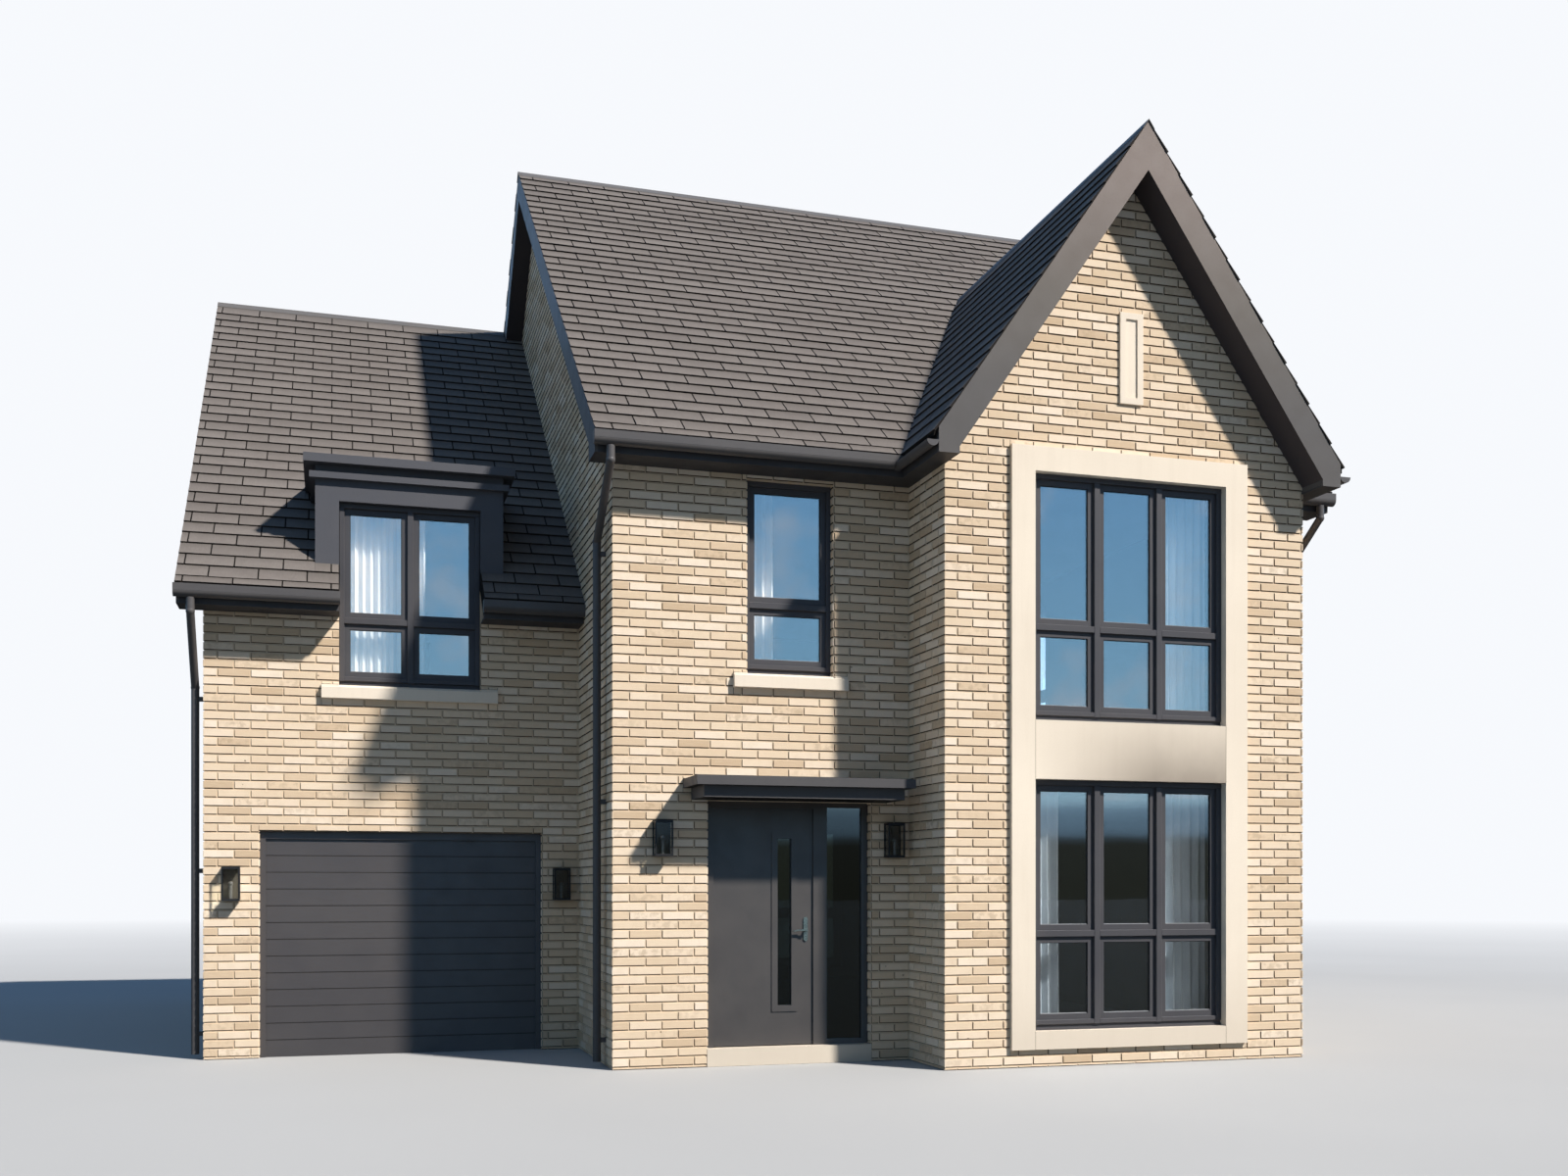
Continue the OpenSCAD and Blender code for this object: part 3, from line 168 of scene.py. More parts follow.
class Mat(Nodes):
    """A node material on one Principled shader, in the house's own metres."""

    def __init__(self, name, rough, spec=0.5, metal=0.0):
        self.mat = bpy.data.materials.new(name)
        self.mat.use_nodes = True
        super().__init__(self.mat.node_tree)
        self.shader = self.tree.nodes["Principled BSDF"]
        self.inputs = self.shader.inputs
        for key, value in (("Roughness", rough), ("Specular IOR Level", spec), ("Metallic", metal)):
            self.put(value, self.inputs[key])
        self.where = self.node("ShaderNodeTexCoord").outputs["Object"]

    def scaled(self, scale):
        m = self.node("ShaderNodeMapping", [("Vector", self.where)])
        m.inputs["Scale"].default_value = scale
        return m.outputs["Vector"]

    def colour(self, c):
        self.put(c, self.inputs["Base Color"])

    def rough(self, value, low, high):
        """Roughness from low to high, as a noise's value rises."""
        self.put(self.spread(value, 0.3, 0.7, low, high), self.inputs["Roughness"])

    def bump(self, height, distance, strength):
        """A bump on top of the ones before it."""
        b = self.node("ShaderNodeBump", [("Strength", strength), ("Distance", distance), ("Height", height)])
        for link in self.inputs["Normal"].links:
            self.put(link.from_socket, b.inputs["Normal"])
        self.put(b.outputs["Normal"], self.inputs["Normal"])

    def facing_down(self):
        normal = self.node("ShaderNodeNewGeometry").outputs["Normal"]
        return self.spread(self.xyz(normal)["Z"], -0.1, -0.3)

    def tones(self):
        """The red, green and blue that class Cells gives to the corners of faces."""
        tone = self.node("ShaderNodeAttribute", attribute_name="tone").outputs["Color"]
        parts = self.node("ShaderNodeSeparateColor", [("Color", tone)]).outputs
        return parts["Red"], parts["Green"], parts["Blue"]

    def surface(self, fac, other):
        """Mix the Principled shader with another one by a factor."""
        mixed = self.mix_shader(fac, self.shader.outputs["BSDF"], other)
        self.put(mixed, self.tree.nodes["Material Output"].inputs["Surface"])


def shade(c, k):
    return tuple(v * k for v in c)


def brick_material():
    m = Mat("brick_face", 0.9, 0.06)
    tone, second, face = m.tones()
    c = m.ramp(tone, [(0.0, (0.62, 0.47, 0.32)), (0.15, (0.74, 0.585, 0.42)), (0.45, (0.83, 0.68, 0.51)),
                      (0.8, (0.89, 0.75, 0.595)), (1.0, (0.94, 0.825, 0.69))])
    c = m.stain(c, (0.82, 0.64, 0.475), second, 0.0, 1.0, 0.22)
    c = m.stain(c, (0.64, 0.50, 0.345), m.noise(11.0, 4.0), 0.42, 0.72, 0.20)
    drag = m.noise(1.0, 4.0, where=m.scaled((14.0, 14.0, 110.0)))
    c = m.stain(c, (0.93, 0.84, 0.71), drag, 0.45, 0.75, 0.12)
    c = m.stain(c, (0.48, 0.36, 0.24), m.noise(260.0, 2.0), 0.55, 0.72, 0.20)
    smut = m.product(m.spread(second, 0.78, 1.0), m.spread(m.noise(20.0), 0.45, 0.62), 0.5)
    c = m.mix(smut, c, (0.47, 0.355, 0.235))
    cells = m.node("ShaderNodeTexVoronoi", [("Scale", 3.6), ("Vector", m.where)])
    pit = m.spread(cells.outputs["Distance"], 0.018, 0.034, 1.0, 0.0)
    c = m.mix(m.product(pit, 0.75), c, (0.20, 0.13, 0.08))
    # Painted shade: the sides of a brick at its foot and at its lee end, away from the sun, are painted dark
    m.colour(m.mix(m.spread(face, 0.3, 0.7, 1.0, 0.0), c, (0.085, 0.058, 0.036)))
    m.bump(m.noise(120.0, 4.0, 0.65), 0.0016, 0.7)
    m.bump(drag, 0.0015, 0.4)
    m.bump(pit, -0.004, 0.8)
    return m.mat


def mortar_material():
    """Mortar outside, and on the rooms' side of the walls a near-black plaster, painted shade that keeps the rooms
    dark.
    """
    m = Mat("mortar", 0.95, 0.05)
    c = m.stain((0.70, 0.565, 0.42), (0.78, 0.64, 0.485), m.noise(3.0), 0.3, 0.7)
    c = m.stain(c, (0.60, 0.48, 0.35), m.noise(400.0, 2.0), 0.4, 0.7, 0.4)
    at = m.xyz(m.where)
    # The plaster starts inside the walls, half their thickness behind their faces
    skin = 0.15
    main = (XM + skin, XR - skin, YM + skin, YR - skin)
    bay = (XB + skin, XBR - skin, YB + skin, YM + 0.2)
    wing = (XL + skin, XM - 0.02, YW + skin, YR - skin)
    room_shade_mask = 0.0
    for x0, x1, y0, y1 in (main, bay, wing):
        room_shade_mask = m.maths("MAXIMUM", room_shade_mask, m.product(m.between(at["X"], x0, x1), m.between(at["Y"], y0, y1)))
    # Painted shade: the rooms' plaster is near black, so that the rooms read dark
    room_shade = m.stain((0.030, 0.029, 0.026), (0.042, 0.040, 0.036), m.noise(1.3), 0.3, 0.7)
    m.colour(m.mix(room_shade_mask, c, room_shade))
    m.bump(m.noise(300.0), 0.001, 0.8)
    return m.mat


def tile_material():
    m = Mat("roof_tile", 0.85, 0.08)
    tone, foot_light_head_shade, face = m.tones()
    c = m.ramp(tone, [(0.0, (0.168, 0.149, 0.138)), (0.5, (0.186, 0.165, 0.153)), (1.0, (0.206, 0.184, 0.171))])
    grain = m.noise(1.0, 5.0, 0.6, m.scaled((60.0, 20.0, 20.0)))
    c = m.stain(c, (0.112, 0.098, 0.090), grain, 0.35, 0.7, 0.28)
    c = m.stain(c, (0.126, 0.111, 0.102), m.noise(9.0, 4.0), 0.40, 0.70, 0.30)
    c = m.stain(c, (0.235, 0.214, 0.200), m.noise(1.1), 0.4, 0.7, 0.15)
    # Green runs from the foot of a tile to its head: the foot gets a little painted highlight, and the head, under the
    # butt of the course above, gets painted shade
    c = m.stain(c, (0.088, 0.078, 0.073), foot_light_head_shade, 0.45, 1.0, 0.45)
    c = m.mix(m.spread(foot_light_head_shade, 0.0, 0.35, 0.16, 0.0), c, (0.27, 0.245, 0.23))
    # Painted shade: a tile's sides, round its butt and its joints, are painted near black up to just below its top
    m.colour(m.mix(m.spread(face, 0.90, 0.99, 0.92, 0.0), c, (0.014, 0.012, 0.011)))
    m.bump(grain, 0.002, 0.5)
    m.bump(m.noise(180.0), 0.0012, 0.5)
    return m.mat


def under_tile_material():
    m = Mat("tile_joint", 0.95, 0.03)
    m.colour(m.stain((0.012, 0.011, 0.010), (0.026, 0.023, 0.021), m.noise(14.0), 0.35, 0.7))
    m.bump(m.noise(60.0), 0.002, 0.5)
    return m.mat


def coat(m, c, speck, rough, grain=350.0, depth=0.0004, cloudy=0.05, under=None):
    """Paint of colour c: a little dust, darker specks and a fine orange peel. Faces that look down get the last,
    darker
    colour instead: painted shade.
    """
    dust = m.product(m.spread(m.noise(1.7, 4.0), 0.35, 0.72), cloudy)
    c = m.mix(dust, c, (0.42, 0.38, 0.34))
    c = m.stain(c, speck, m.noise(40.0), 0.5, 0.8, 0.12)
    m.colour(m.mix(m.facing_down(), c, under) if under else c)
    m.rough(m.noise(6.0), rough - 0.06, rough + 0.08)
    m.bump(m.noise(grain, 2.0), depth, 0.6)
    return m.mat


def painted(name, colour, rough, spec=0.18, **more):
    return coat(Mat(name, rough, spec), colour, shade(colour, 0.6), rough, **more)


def board_material():
    """Painted verge boards, with painted shading that makes them lighter towards the top, and painted shade where they
    face down.
    """
    m = Mat("verge_board", 0.6, 0.18)
    # Painted shading: the boards' colour grows lighter with height
    height = m.spread(m.xyz(m.where)["Z"], 5.0, 9.5)
    c = m.ramp(height, [(0.11, (0.104, 0.098, 0.097)), (0.30, (0.144, 0.128, 0.115)), (0.54, (0.232, 0.190, 0.172))])
    return coat(m, c, (0.095, 0.085, 0.080), 0.6, under=(0.058, 0.051, 0.056))


def garage_material():
    m = Mat("garage_paint", 0.5, 0.55)
    fine = m.noise(1.0, 3.0, 0.6, m.scaled((9.0, 9.0, 420.0)))
    c = m.stain((0.061, 0.054, 0.054), (0.049, 0.0435, 0.0435), fine, 0.35, 0.7, 0.25)
    m.colour(m.stain(c, (0.30, 0.27, 0.24), m.noise(1.2), 0.4, 0.75, 0.06))
    m.rough(m.noise(5.0), 0.48, 0.62)
    m.bump(fine, 0.0012, 0.5)
    return m.mat


def stone(name, low=(0.85, 0.757, 0.64), high=(0.92, 0.823, 0.70)):
    """The start of a cast stone, as its material and its colour."""
    m = Mat(name, 0.85, 0.08)
    c = m.stain(low, high, m.noise(0.9, 4.0), 0.35, 0.7)
    c = m.stain(c, (0.68, 0.575, 0.455), m.noise(160.0), 0.45, 0.75, 0.20)
    run = m.noise(1.0, 4.0, 0.6, m.scaled((16.0, 16.0, 0.9)))
    return m, m.stain(c, (0.66, 0.565, 0.45), run, 0.50, 0.80, 0.16)


def grained(m, c):
    """The end of a cast stone."""
    m.colour(c)
    m.bump(m.noise(220.0, 4.0, 0.65), 0.001, 0.5)
    return m.mat


def surround_material():
    """The bay's stone. A soft shadow is painted on its panel between the windows, darkest at the panel's right and its
    foot, and upright hairline joints run on from the windows' jambs."""
    m, c = stone("surround_stone")
    at = m.xyz(m.where)
    foot, window_foot = lo("stone_surround", 2), lo("bay_lower_window", 2)
    panel_foot, panel_head = hi("bay_lower_window", 2), lo("bay_upper_window", 2)
    z0, z1 = panel_foot - 0.01, panel_head + 0.01
    # Painted shadow: a soft shadow over the panel, darkest at its right and its foot
    right = m.spread(at["X"], BW0 + 0.02, BW0 + 0.62 * (BW1 - BW0))
    painted_shadow = m.product(right, m.maths("LESS_THAN", at["X"], BW1), m.spread(at["Z"], z1, z0, 0.25, 1.0),
                     m.between(at["Z"], z0, z1), m.spread(m.noise(2.2), 0.2, 0.6, 0.75, 1.0))
    c = m.mix(painted_shadow, c, (0.36, 0.31, 0.26))
    # The lowest stones are darker too
    c = m.mix(m.spread(at["Z"], 0.95, 0.25, 0.0, 0.45), c, (0.60, 0.52, 0.43))
    half = 0.0022
    line = 0.0
    for x in (BW0, BW1):
        for low, high in ((foot, window_foot), (panel_foot, panel_head)):
            hit = m.product(m.between(at["X"], x - half, x + half), m.between(at["Z"], low, high))
            line = m.maths("MAXIMUM", line, hit)
    c = m.mix(m.product(line, 0.72), c, (0.20, 0.16, 0.12))
    m.bump(line, -0.003, 0.8)
    return grained(m, c)


def concrete_material(name, colour):
    m = Mat(name, 0.9, 0.2)
    c = m.stain(shade(colour, 0.85), shade(colour, 1.1), m.noise(1.5, 5.0), 0.3, 0.7)
    m.colour(m.stain(c, shade(colour, 0.55), m.noise(90.0), 0.5, 0.8, 0.3))
    m.bump(m.noise(70.0, 4.0), 0.002, 0.5)
    return m.mat


def glass_material(name, tint, ior, rough=0.01):
    """Clear glass that lets lamps through to what stands behind it."""
    m = Mat(name, rough)
    for key, value in (("Base Color", tint), ("Transmission Weight", 1.0), ("IOR", ior)):
        m.put(value, m.inputs[key])
    m.bump(m.noise(0.9, 2.0), 0.004, 0.15)
    clear = m.node("ShaderNodeBsdfTransparent", [("Color", tint)])
    m.surface(m.path()["Is Shadow Ray"], clear.outputs["BSDF"])
    return m.mat


def lantern_material():
    """Black paint; the inner face of each back plate, behind the lamp, is a dull bronze."""
    m = Mat("lantern_paint", 0.45, 0.18)
    y = m.xyz(m.where)["Y"]
    plate = 0.0
    for wall in (YW, YM):
        face = wall - 0.014
        plate = m.maths("MAXIMUM", plate, m.between(y, face - 0.0015, face + 0.0015))
    c = m.stain((0.020, 0.020, 0.022), (0.026, 0.026, 0.027), m.noise(30.0), 0.4, 0.7)
    m.colour(m.mix(plate, c, (0.105, 0.092, 0.072)))
    m.rough(m.noise(6.0), 0.40, 0.53)
    m.bump(m.noise(500.0, 2.0), 0.0003, 0.6)
    return m.mat


def steel_material():
    m = Mat("handle_steel", 0.25, metal=1.0)
    m.colour(m.stain((0.40, 0.385, 0.32), (0.31, 0.30, 0.25), m.noise(30.0, 2.0), 0.4, 0.7))
    line = m.noise(1.0, 3.0, 0.5, m.scaled((60.0, 60.0, 900.0)))
    m.rough(line, 0.18, 0.34)
    m.bump(line, 0.0002, 0.4)
    return m.mat


def curtain_material(name, low, high):
    m = Mat(name, 0.9, 0.1)
    m.colour(m.stain(low, high, m.noise(3.0), 0.3, 0.7))
    m.put(0.2, m.inputs["Sheen Weight"])
    m.bump(m.noise(900.0, 2.0, 0.5), 0.0006, 0.5)
    return m.mat


def lamp_material():
    m = Mat("lamp_glass", 0.25)
    m.colour(m.stain((0.17, 0.165, 0.155), (0.13, 0.125, 0.12), m.noise(60.0, 2.0), 0.3, 0.7))
    return m.mat


BRICK, MORTAR, TILE, JOINT = brick_material(), mortar_material(), tile_material(), under_tile_material()
BOARD, GARAGE, LANTERN = board_material(), garage_material(), lantern_material()
STEEL, LAMP = steel_material(), lamp_material()
EAVES_BOARD = painted("eaves_board", (0.060, 0.059, 0.064), 0.6)
GUTTER = painted("rainwater_goods", (0.096, 0.091, 0.093), 0.42, grain=500.0, depth=0.0002)
DORMER = painted("dormer_sheet", (0.090, 0.092, 0.106), 0.55, grain=300.0)
FRAME = painted("window_frame", (0.070, 0.069, 0.077), 0.5, grain=420.0, depth=0.0003, cloudy=0.04)
# Painted shade: the canopy's underside is painted darker
CANOPY = painted("canopy_sheet", (0.086, 0.083, 0.087), 0.55, under=(0.018, 0.018, 0.020))
DOOR = painted("door_paint", (0.053, 0.047, 0.045), 0.5, 0.55, grain=420.0, depth=0.0005)
RIDGE_CAP = painted("ridge_cap", (0.125, 0.117, 0.112), 0.7, grain=120.0, depth=0.001)
# Painted shade: the seals in the garage door's grooves are painted darker than the door
GROOVE_SHADE = painted("garage_groove_shade", (0.042, 0.038, 0.038), 0.6, grain=420.0, depth=0.0003)
BEAD = painted("glazing_bead", (0.34, 0.35, 0.37), 0.4, 0.5, grain=500.0, depth=0.0002)
BLACK = painted("rubber_seal", (0.018, 0.018, 0.019), 0.7, grain=300.0, depth=0.0003, cloudy=0.03)
STONE, SURROUND = grained(*stone("cast_stone")), surround_material()
STEP_STONE = grained(*stone("step_stone", (0.68, 0.60, 0.505), (0.76, 0.68, 0.575)))
# Painted shade: the rooms' floors are near black and their ceiling dark grey, so that the rooms read dark behind the
# glass
ROOM_FLOOR_SHADE = concrete_material("floor_concrete", (0.042, 0.037, 0.032))
ROOM_CEILING_SHADE = concrete_material("ceiling_board", (0.16, 0.157, 0.15))
GLASS = glass_material("window_glass", (0.94, 0.965, 0.98), 2.3)
# Painted shade: the door's glass is tinted dark green, so that the hall behind it reads dark
DOOR_GLASS_SHADE = glass_material("door_glass", (0.14, 0.16, 0.13), 1.95)
LANTERN_GLASS = glass_material("lantern_glass", (0.92, 0.93, 0.92), 1.33, 0.03)
CLOTH = curtain_material("curtain_cloth", (0.76, 0.71, 0.67), (0.83, 0.78, 0.74))
# Painted shade: the bay's curtains take a darker, bluer copy of the curtain cloth
SHADED_CLOTH = curtain_material("curtain_cloth_painted_shade", (0.40, 0.45, 0.50), (0.48, 0.54, 0.60))

# The material of each CAD node
DRESS = {node: mat for mat, nodes in (
    (MORTAR, "garage_front_wall garage_side_wall garage_rear_wall main_left_wall front_wall_left right_wall "
             "front_wall_over_door front_wall_beside_bay bay_front_wall bay_side_walls rear_wall"),
    (JOINT, "main_roof_front main_roof_rear bay_roof_left bay_roof_right garage_roof_front garage_roof_rear"),
    (RIDGE_CAP, "ridge_caps"),
    (BOARD, "main_left_verge main_right_verge bay_bargeboards garage_verge"),
    (EAVES_BOARD, "front_eaves garage_eaves rear_eaves"),
    (GUTTER, "front_gutters garage_gutters rear_gutter downpipes"),
    (DORMER, "dormer_surround dormer_roof"),
    (FRAME, "dormer_window landing_window bay_upper_window bay_lower_window rear_windows"),
    (GLASS, "front_glass rear_glass"),
    (DOOR_GLASS_SHADE, "sidelight_glass front_door_glass"),
    (SURROUND, "stone_surround"),
    (STONE, "gable_plaque window_sills"),
    (STEP_STONE, "door_step"),
    (CANOPY, "door_canopy"),
    (DOOR, "front_door_frame front_door"),
    (STEEL, "front_door_handles"),
    (GARAGE, "garage_door_frame garage_door"),
    (LANTERN, "wall_lanterns"),
    (LAMP, "lantern_lamps"),
    (LANTERN_GLASS, "lantern_glass"),
    (ROOM_FLOOR_SHADE, "ground_floor first_floor"),
    (ROOM_CEILING_SHADE, "upper_ceiling"),
) for node in nodes.split()}
for name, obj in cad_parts.items():
    if not obj.material_slots:
        obj.data.materials.append(DRESS[name])
    for material_slot in obj.material_slots:
        material_slot.material = DRESS[name]

# ---------------------------------------------------------------- pieces of the house


def add_piece(mesh, mat, slot):
    """Show a mesh as a piece of the house, with its faces turned outwards."""
    mesh.materials.append(mat)
    obj = bpy.data.objects.new(mesh.name, mesh)
    bpy.context.scene.collection.objects.link(obj)
    b = bmesh.new()
    b.from_mesh(mesh)
    bmesh.ops.recalc_face_normals(b, faces=b.faces)
    b.to_mesh(mesh)
    b.free()
    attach(obj, "house")
    return obj


def new_object(name, verts, faces, mat, slot):
    mesh = bpy.data.meshes.new(name)
    mesh.from_pydata(verts, [], faces)
    return add_piece(mesh, mat, slot)


# ---------------------------------------------------------------- cells on a plane: bricks and tiles


def clip(poly, a, b, c):
    """The part of a convex polygon where a * u + b * v <= c."""
    out = []
    for p, q in zip(poly, poly[1:] + poly[:1]):
        dp, dq = a * p[0] + b * p[1] - c, a * q[0] + b * q[1] - c
        if dp <= 0:
            out.append(p)
        if (dp < 0 < dq) or (dq < 0 < dp):
            t = dp / (dp - dq)
            out.append((p[0] + t * (q[0] - p[0]), p[1] + t * (q[1] - p[1])))
    return out


def clip_all(poly, planes):
    """The part of a convex polygon inside all half-planes, or an empty list."""
    for plane in planes:
        poly = clip(poly, *plane)
        if len(poly) < 3:
            return []
    return poly


def minus_box(poly, box):
    """A convex polygon less an upright box, as convex pieces."""
    u0, u1, v0, v1 = box
    us, vs = [p[0] for p in poly], [p[1] for p in poly]
    if max(us) <= u0 or min(us) >= u1 or max(vs) <= v0 or min(vs) >= v1:
        return [poly]
    mid = clip(clip(poly, -1, 0, -u0), 1, 0, u1)
    parts = [clip(poly, 1, 0, u0), clip(poly, -1, 0, -u1), clip(mid, 0, 1, v0), clip(mid, 0, -1, -v1)]
    return [q for q in parts if len(q) > 2]


def minus_boxes(poly, boxes):
    parts = [poly]
    for box in boxes:
        parts = [q for p in parts for q in minus_box(p, box)]
    return parts


def area(poly):
    return abs(sum(p[0] * q[1] - q[0] * p[1] for p, q in zip(poly, poly[1:] + poly[:1]))) / 2


def least_span(poly):
    return min(max(p[axis] for p in poly) - min(p[axis] for p in poly) for axis in (0, 1))


def bond(u0, u1, start, pitch):
    """Where the units of a course begin, from one that ends before u0 up to u1, if one of them begins at start."""
    k = math.floor((u0 - start) / pitch) - 1
    while start + k * pitch < u1:
        yield start + k * pitch
        k += 1


# Widths of a brick's edges at its lee end and at its foot, which are painted dark as shade, and how deep a block's
# sides go into its plane
EDGE_U, EDGE_V, SUNK = 0.0032, 0.0074, -0.001


class Cells:
    """Small blocks on planes, gathered in one mesh. Red and green are a block's tones, and blue is 1 on its face and
    falls to 0 down its sides; the materials paint shade on the sides where blue is low."""

    def __init__(self, name, mat, slot):
        self.name, self.mat, self.slot = name, mat, slot
        self.verts, self.faces, self.tones = [], [], []

    def add(self, place, poly, height, inset, fade=None, lee=0):
        """place maps (u, v, h) to space, height gives h over (u, v), the face is smaller by inset all round, and fade
        gives green over v. With a lee, the way in u that lies away from the sun, that end and the foot get a wide edge
        with blue 0, which the brick's material paints dark as shade, and the other sides stay light."""
        n = len(poly)
        cu, cv = sum(p[0] for p in poly) / n, sum(p[1] for p in poly) / n
        start = len(self.verts)
        top = []
        for u, v in poly:
            iu = EDGE_U if (u - cu) * lee > 0 else inset
            iv = EDGE_V if lee and v < cv else inset
            top.append((u + max(-iu, min(iu, cu - u)), v + max(-iv, min(iv, cv - v))))
        self.verts += [place(u, v, SUNK) for u, v in poly]
        self.verts += [place(u, v, height(u, v)) for u, v in top]
        red, green = RND.random(), RND.random()
        greens = [fade(v) for u, v in poly] if fade else [green] * n
        self.faces.append([start + n + i for i in range(n)])
        self.tones += [(red, g, 1.0, 1.0) for g in greens]
        for i in range(n):
            j = (i + 1) % n
            self.faces.append([start + i, start + j, start + n + j, start + n + i])
            low, high = 0.0, 1.0
            if lee:
                low = high = 0.0 if self.in_shade(poly[i], poly[j], cu, cv, lee) else 1.0
            self.tones += [(red, greens[k], blue, 1.0) for k, blue in ((i, low), (j, low), (j, high), (i, high))]

    @staticmethod
    def in_shade(p, q, cu, cv, lee):
        """Whether the side from p to q of a block round (cu, cv) looks down or to the lee."""
        nu, nv = q[1] - p[1], p[0] - q[0]
        if nu * ((p[0] + q[0]) / 2 - cu) + nv * ((p[1] + q[1]) / 2 - cv) < 0:
            nu, nv = -nu, -nv
        size = math.hypot(nu, nv) or 1.0
        return nv / size < -0.7 or nu * lee / size > 0.7

    def finish(self):
        mesh = bpy.data.meshes.new(self.name)
        mesh.from_pydata(self.verts, [], self.faces)
        tone = mesh.color_attributes.new("tone", "FLOAT_COLOR", "CORNER")
        tone.data.foreach_set("color", [c for t in self.tones for c in t])
        add_piece(mesh, self.mat, self.slot)


# ---------------------------------------------------------------- bricks

# The height of a course, the length of a brick and its joint, a joint, and how far bricks stand out of the wall
COURSE, STRETCH, BED, PROUD = 0.075, 0.272, 0.0105, 0.0085
# The height of the lowest bed joint
LOW_JOINT = 0.016
# How much bricks vary: where their ends lie, how far they stand out and how much they lean
WANDER, UNEVEN, LEAN = 0.001, 0.0008, 0.0035
# How much narrower a face is all round than its block
BRICK_EDGE, TILE_EDGE = 0.001, 0.0006
# Smaller pieces of bricks than these are left out
LEAST_LENGTH, LEAST_HEIGHT, LEAST_AREA, LEAST_SPAN = 0.02, 0.006, 0.0003, 0.007
# Where the upright joints of the front walls stand
WING_BOND, MAIN_BOND, BAY_BOND = XL + 0.105, XM - 0.141, XB - 0.0335
# Heights below and above any opening, and those up to which the courses of the gables are laid
BELOW, ABOVE, GABLE_TOP, BAY_TOP = -1, 9.0, 9.5, 8.0
# Bricks in the sides of openings: how deep they go, how far in front of the wall their bond starts, and the height
# over which they stand beside the front door
WING_REVEAL, REVEAL, TURN, THRESHOLD = 0.05, 0.08, 0.2, 0.147
# A gable's bricks end behind its boards: their depth, square to the slope, and an upright rest
BOARD_DEEP, BOARD_LAP = 0.215, 0.033
# The canopy's top and how much narrower its lower part is at each end
CANOPY_TOP, CANOPY_IN = 0.075, 0.072
# Guessed windows of the right side and the rear: half widths, and heights of the ground floor's
NARROW, WIDE, GARDEN = 0.386, 0.617, 0.902
HEAD, SILL, GARDEN_SILL = 2.390, 0.760, 0.299


def wall_place(origin, along, normal):
    o, a, n = Vector(origin), Vector(along), Vector(normal)
    up = Vector((0, 0, 1))
    return lambda u, v, h: tuple(o + a * u + up * v + n * h)


def front_place(y, way=-1):
    """A wall along x that looks to -y, or to y with a way of 1."""
    return wall_place((0, y, 0), (1, 0, 0), (0, way, 0))


def side_place(x, way):
    """A wall along y that looks to x or -x, by its way."""
    return wall_place((x, 0, 0), (0, 1, 0), (way, 0, 0))


def lay_bricks(cells, place, u0, u1, z0, z1, planes=(), holes=(), shift=0, start=None):
    """Half-bond courses over [u0, u1] by [z0, z1], less the half-planes and the holes. The bond starts from u0 or
    from start, and with a shift of 1 odd and even courses change places."""
    start = u0 if start is None else start
    runs_along_x = abs(place(1, 0, 0)[0] - place(0, 0, 0)[0]) > 0.5
    lee = -1 if runs_along_x else 1
    row = math.floor((z0 - LOW_JOINT) / COURSE + 1e-6)
    while LOW_JOINT + row * COURSE < z1 - 0.004:
        za = max(LOW_JOINT + row * COURSE + BED / 2, z0)
        zb = min(LOW_JOINT + (row + 1) * COURSE - BED / 2, z1)
        off = ((row + shift) % 2) * STRETCH / 2
        row += 1
        for left in bond(u0, u1, start + off, STRETCH):
            a = left + BED / 2
            b = a + STRETCH - BED
            a += RND.uniform(-WANDER, WANDER)
            b += RND.uniform(-WANDER, WANDER)
            if b <= u0 or a >= u1:
                continue
            # A piece at the edge of a wall closes it with no joint
            a = u0 if a < u0 + BED else a
            b = u1 if b > u1 - BED else b
            if b - a < LEAST_LENGTH or zb - za < LEAST_HEIGHT:
                continue
            poly = clip_all([(a, za), (b, za), (b, zb), (a, zb)], planes)
            if not poly:
                continue
            depth = PROUD + RND.uniform(-UNEVEN, UNEVEN)
            lean = RND.uniform(-LEAN, LEAN)
            for p in minus_boxes(poly, holes):
                if area(p) < LEAST_AREA or least_span(p) < LEAST_SPAN:
                    continue
                mid = sum(q[0] for q in p) / len(p)
                cells.add(place, p, lambda u, v: depth + lean * (u - mid), BRICK_EDGE, lee=lee)


def lay_reveals(cells, x0, x1, y, deep, z0, z1):
    """The bricks that turn into an opening at both its sides."""
    for x, way in ((x0, 1), (x1, -1)):
        lay_bricks(cells, side_place(x, way), y, y + deep, z0, z1, start=y - TURN)


def front_hole(node):
    """The footprint of a node's box on a front wall."""
    return (*span(node, 0), *span(node, 2))


def sill_hole(x0, x1, more):
    return (x0 - more, x1 + more, SILL_LOW, WZ0)


def boards(pitch):
    """How far below the roof's plane a gable's bricks end."""
    return BOARD_LAP + BOARD_DEEP / math.cos(pitch)


def under_gable(middle, ridge, rise, pitch):
    """The two half-planes under the boards of a gable."""
    low = boards(pitch)
    return [(-rise, 1, ridge - rise * middle - low), (rise, 1, ridge + rise * middle - low)]


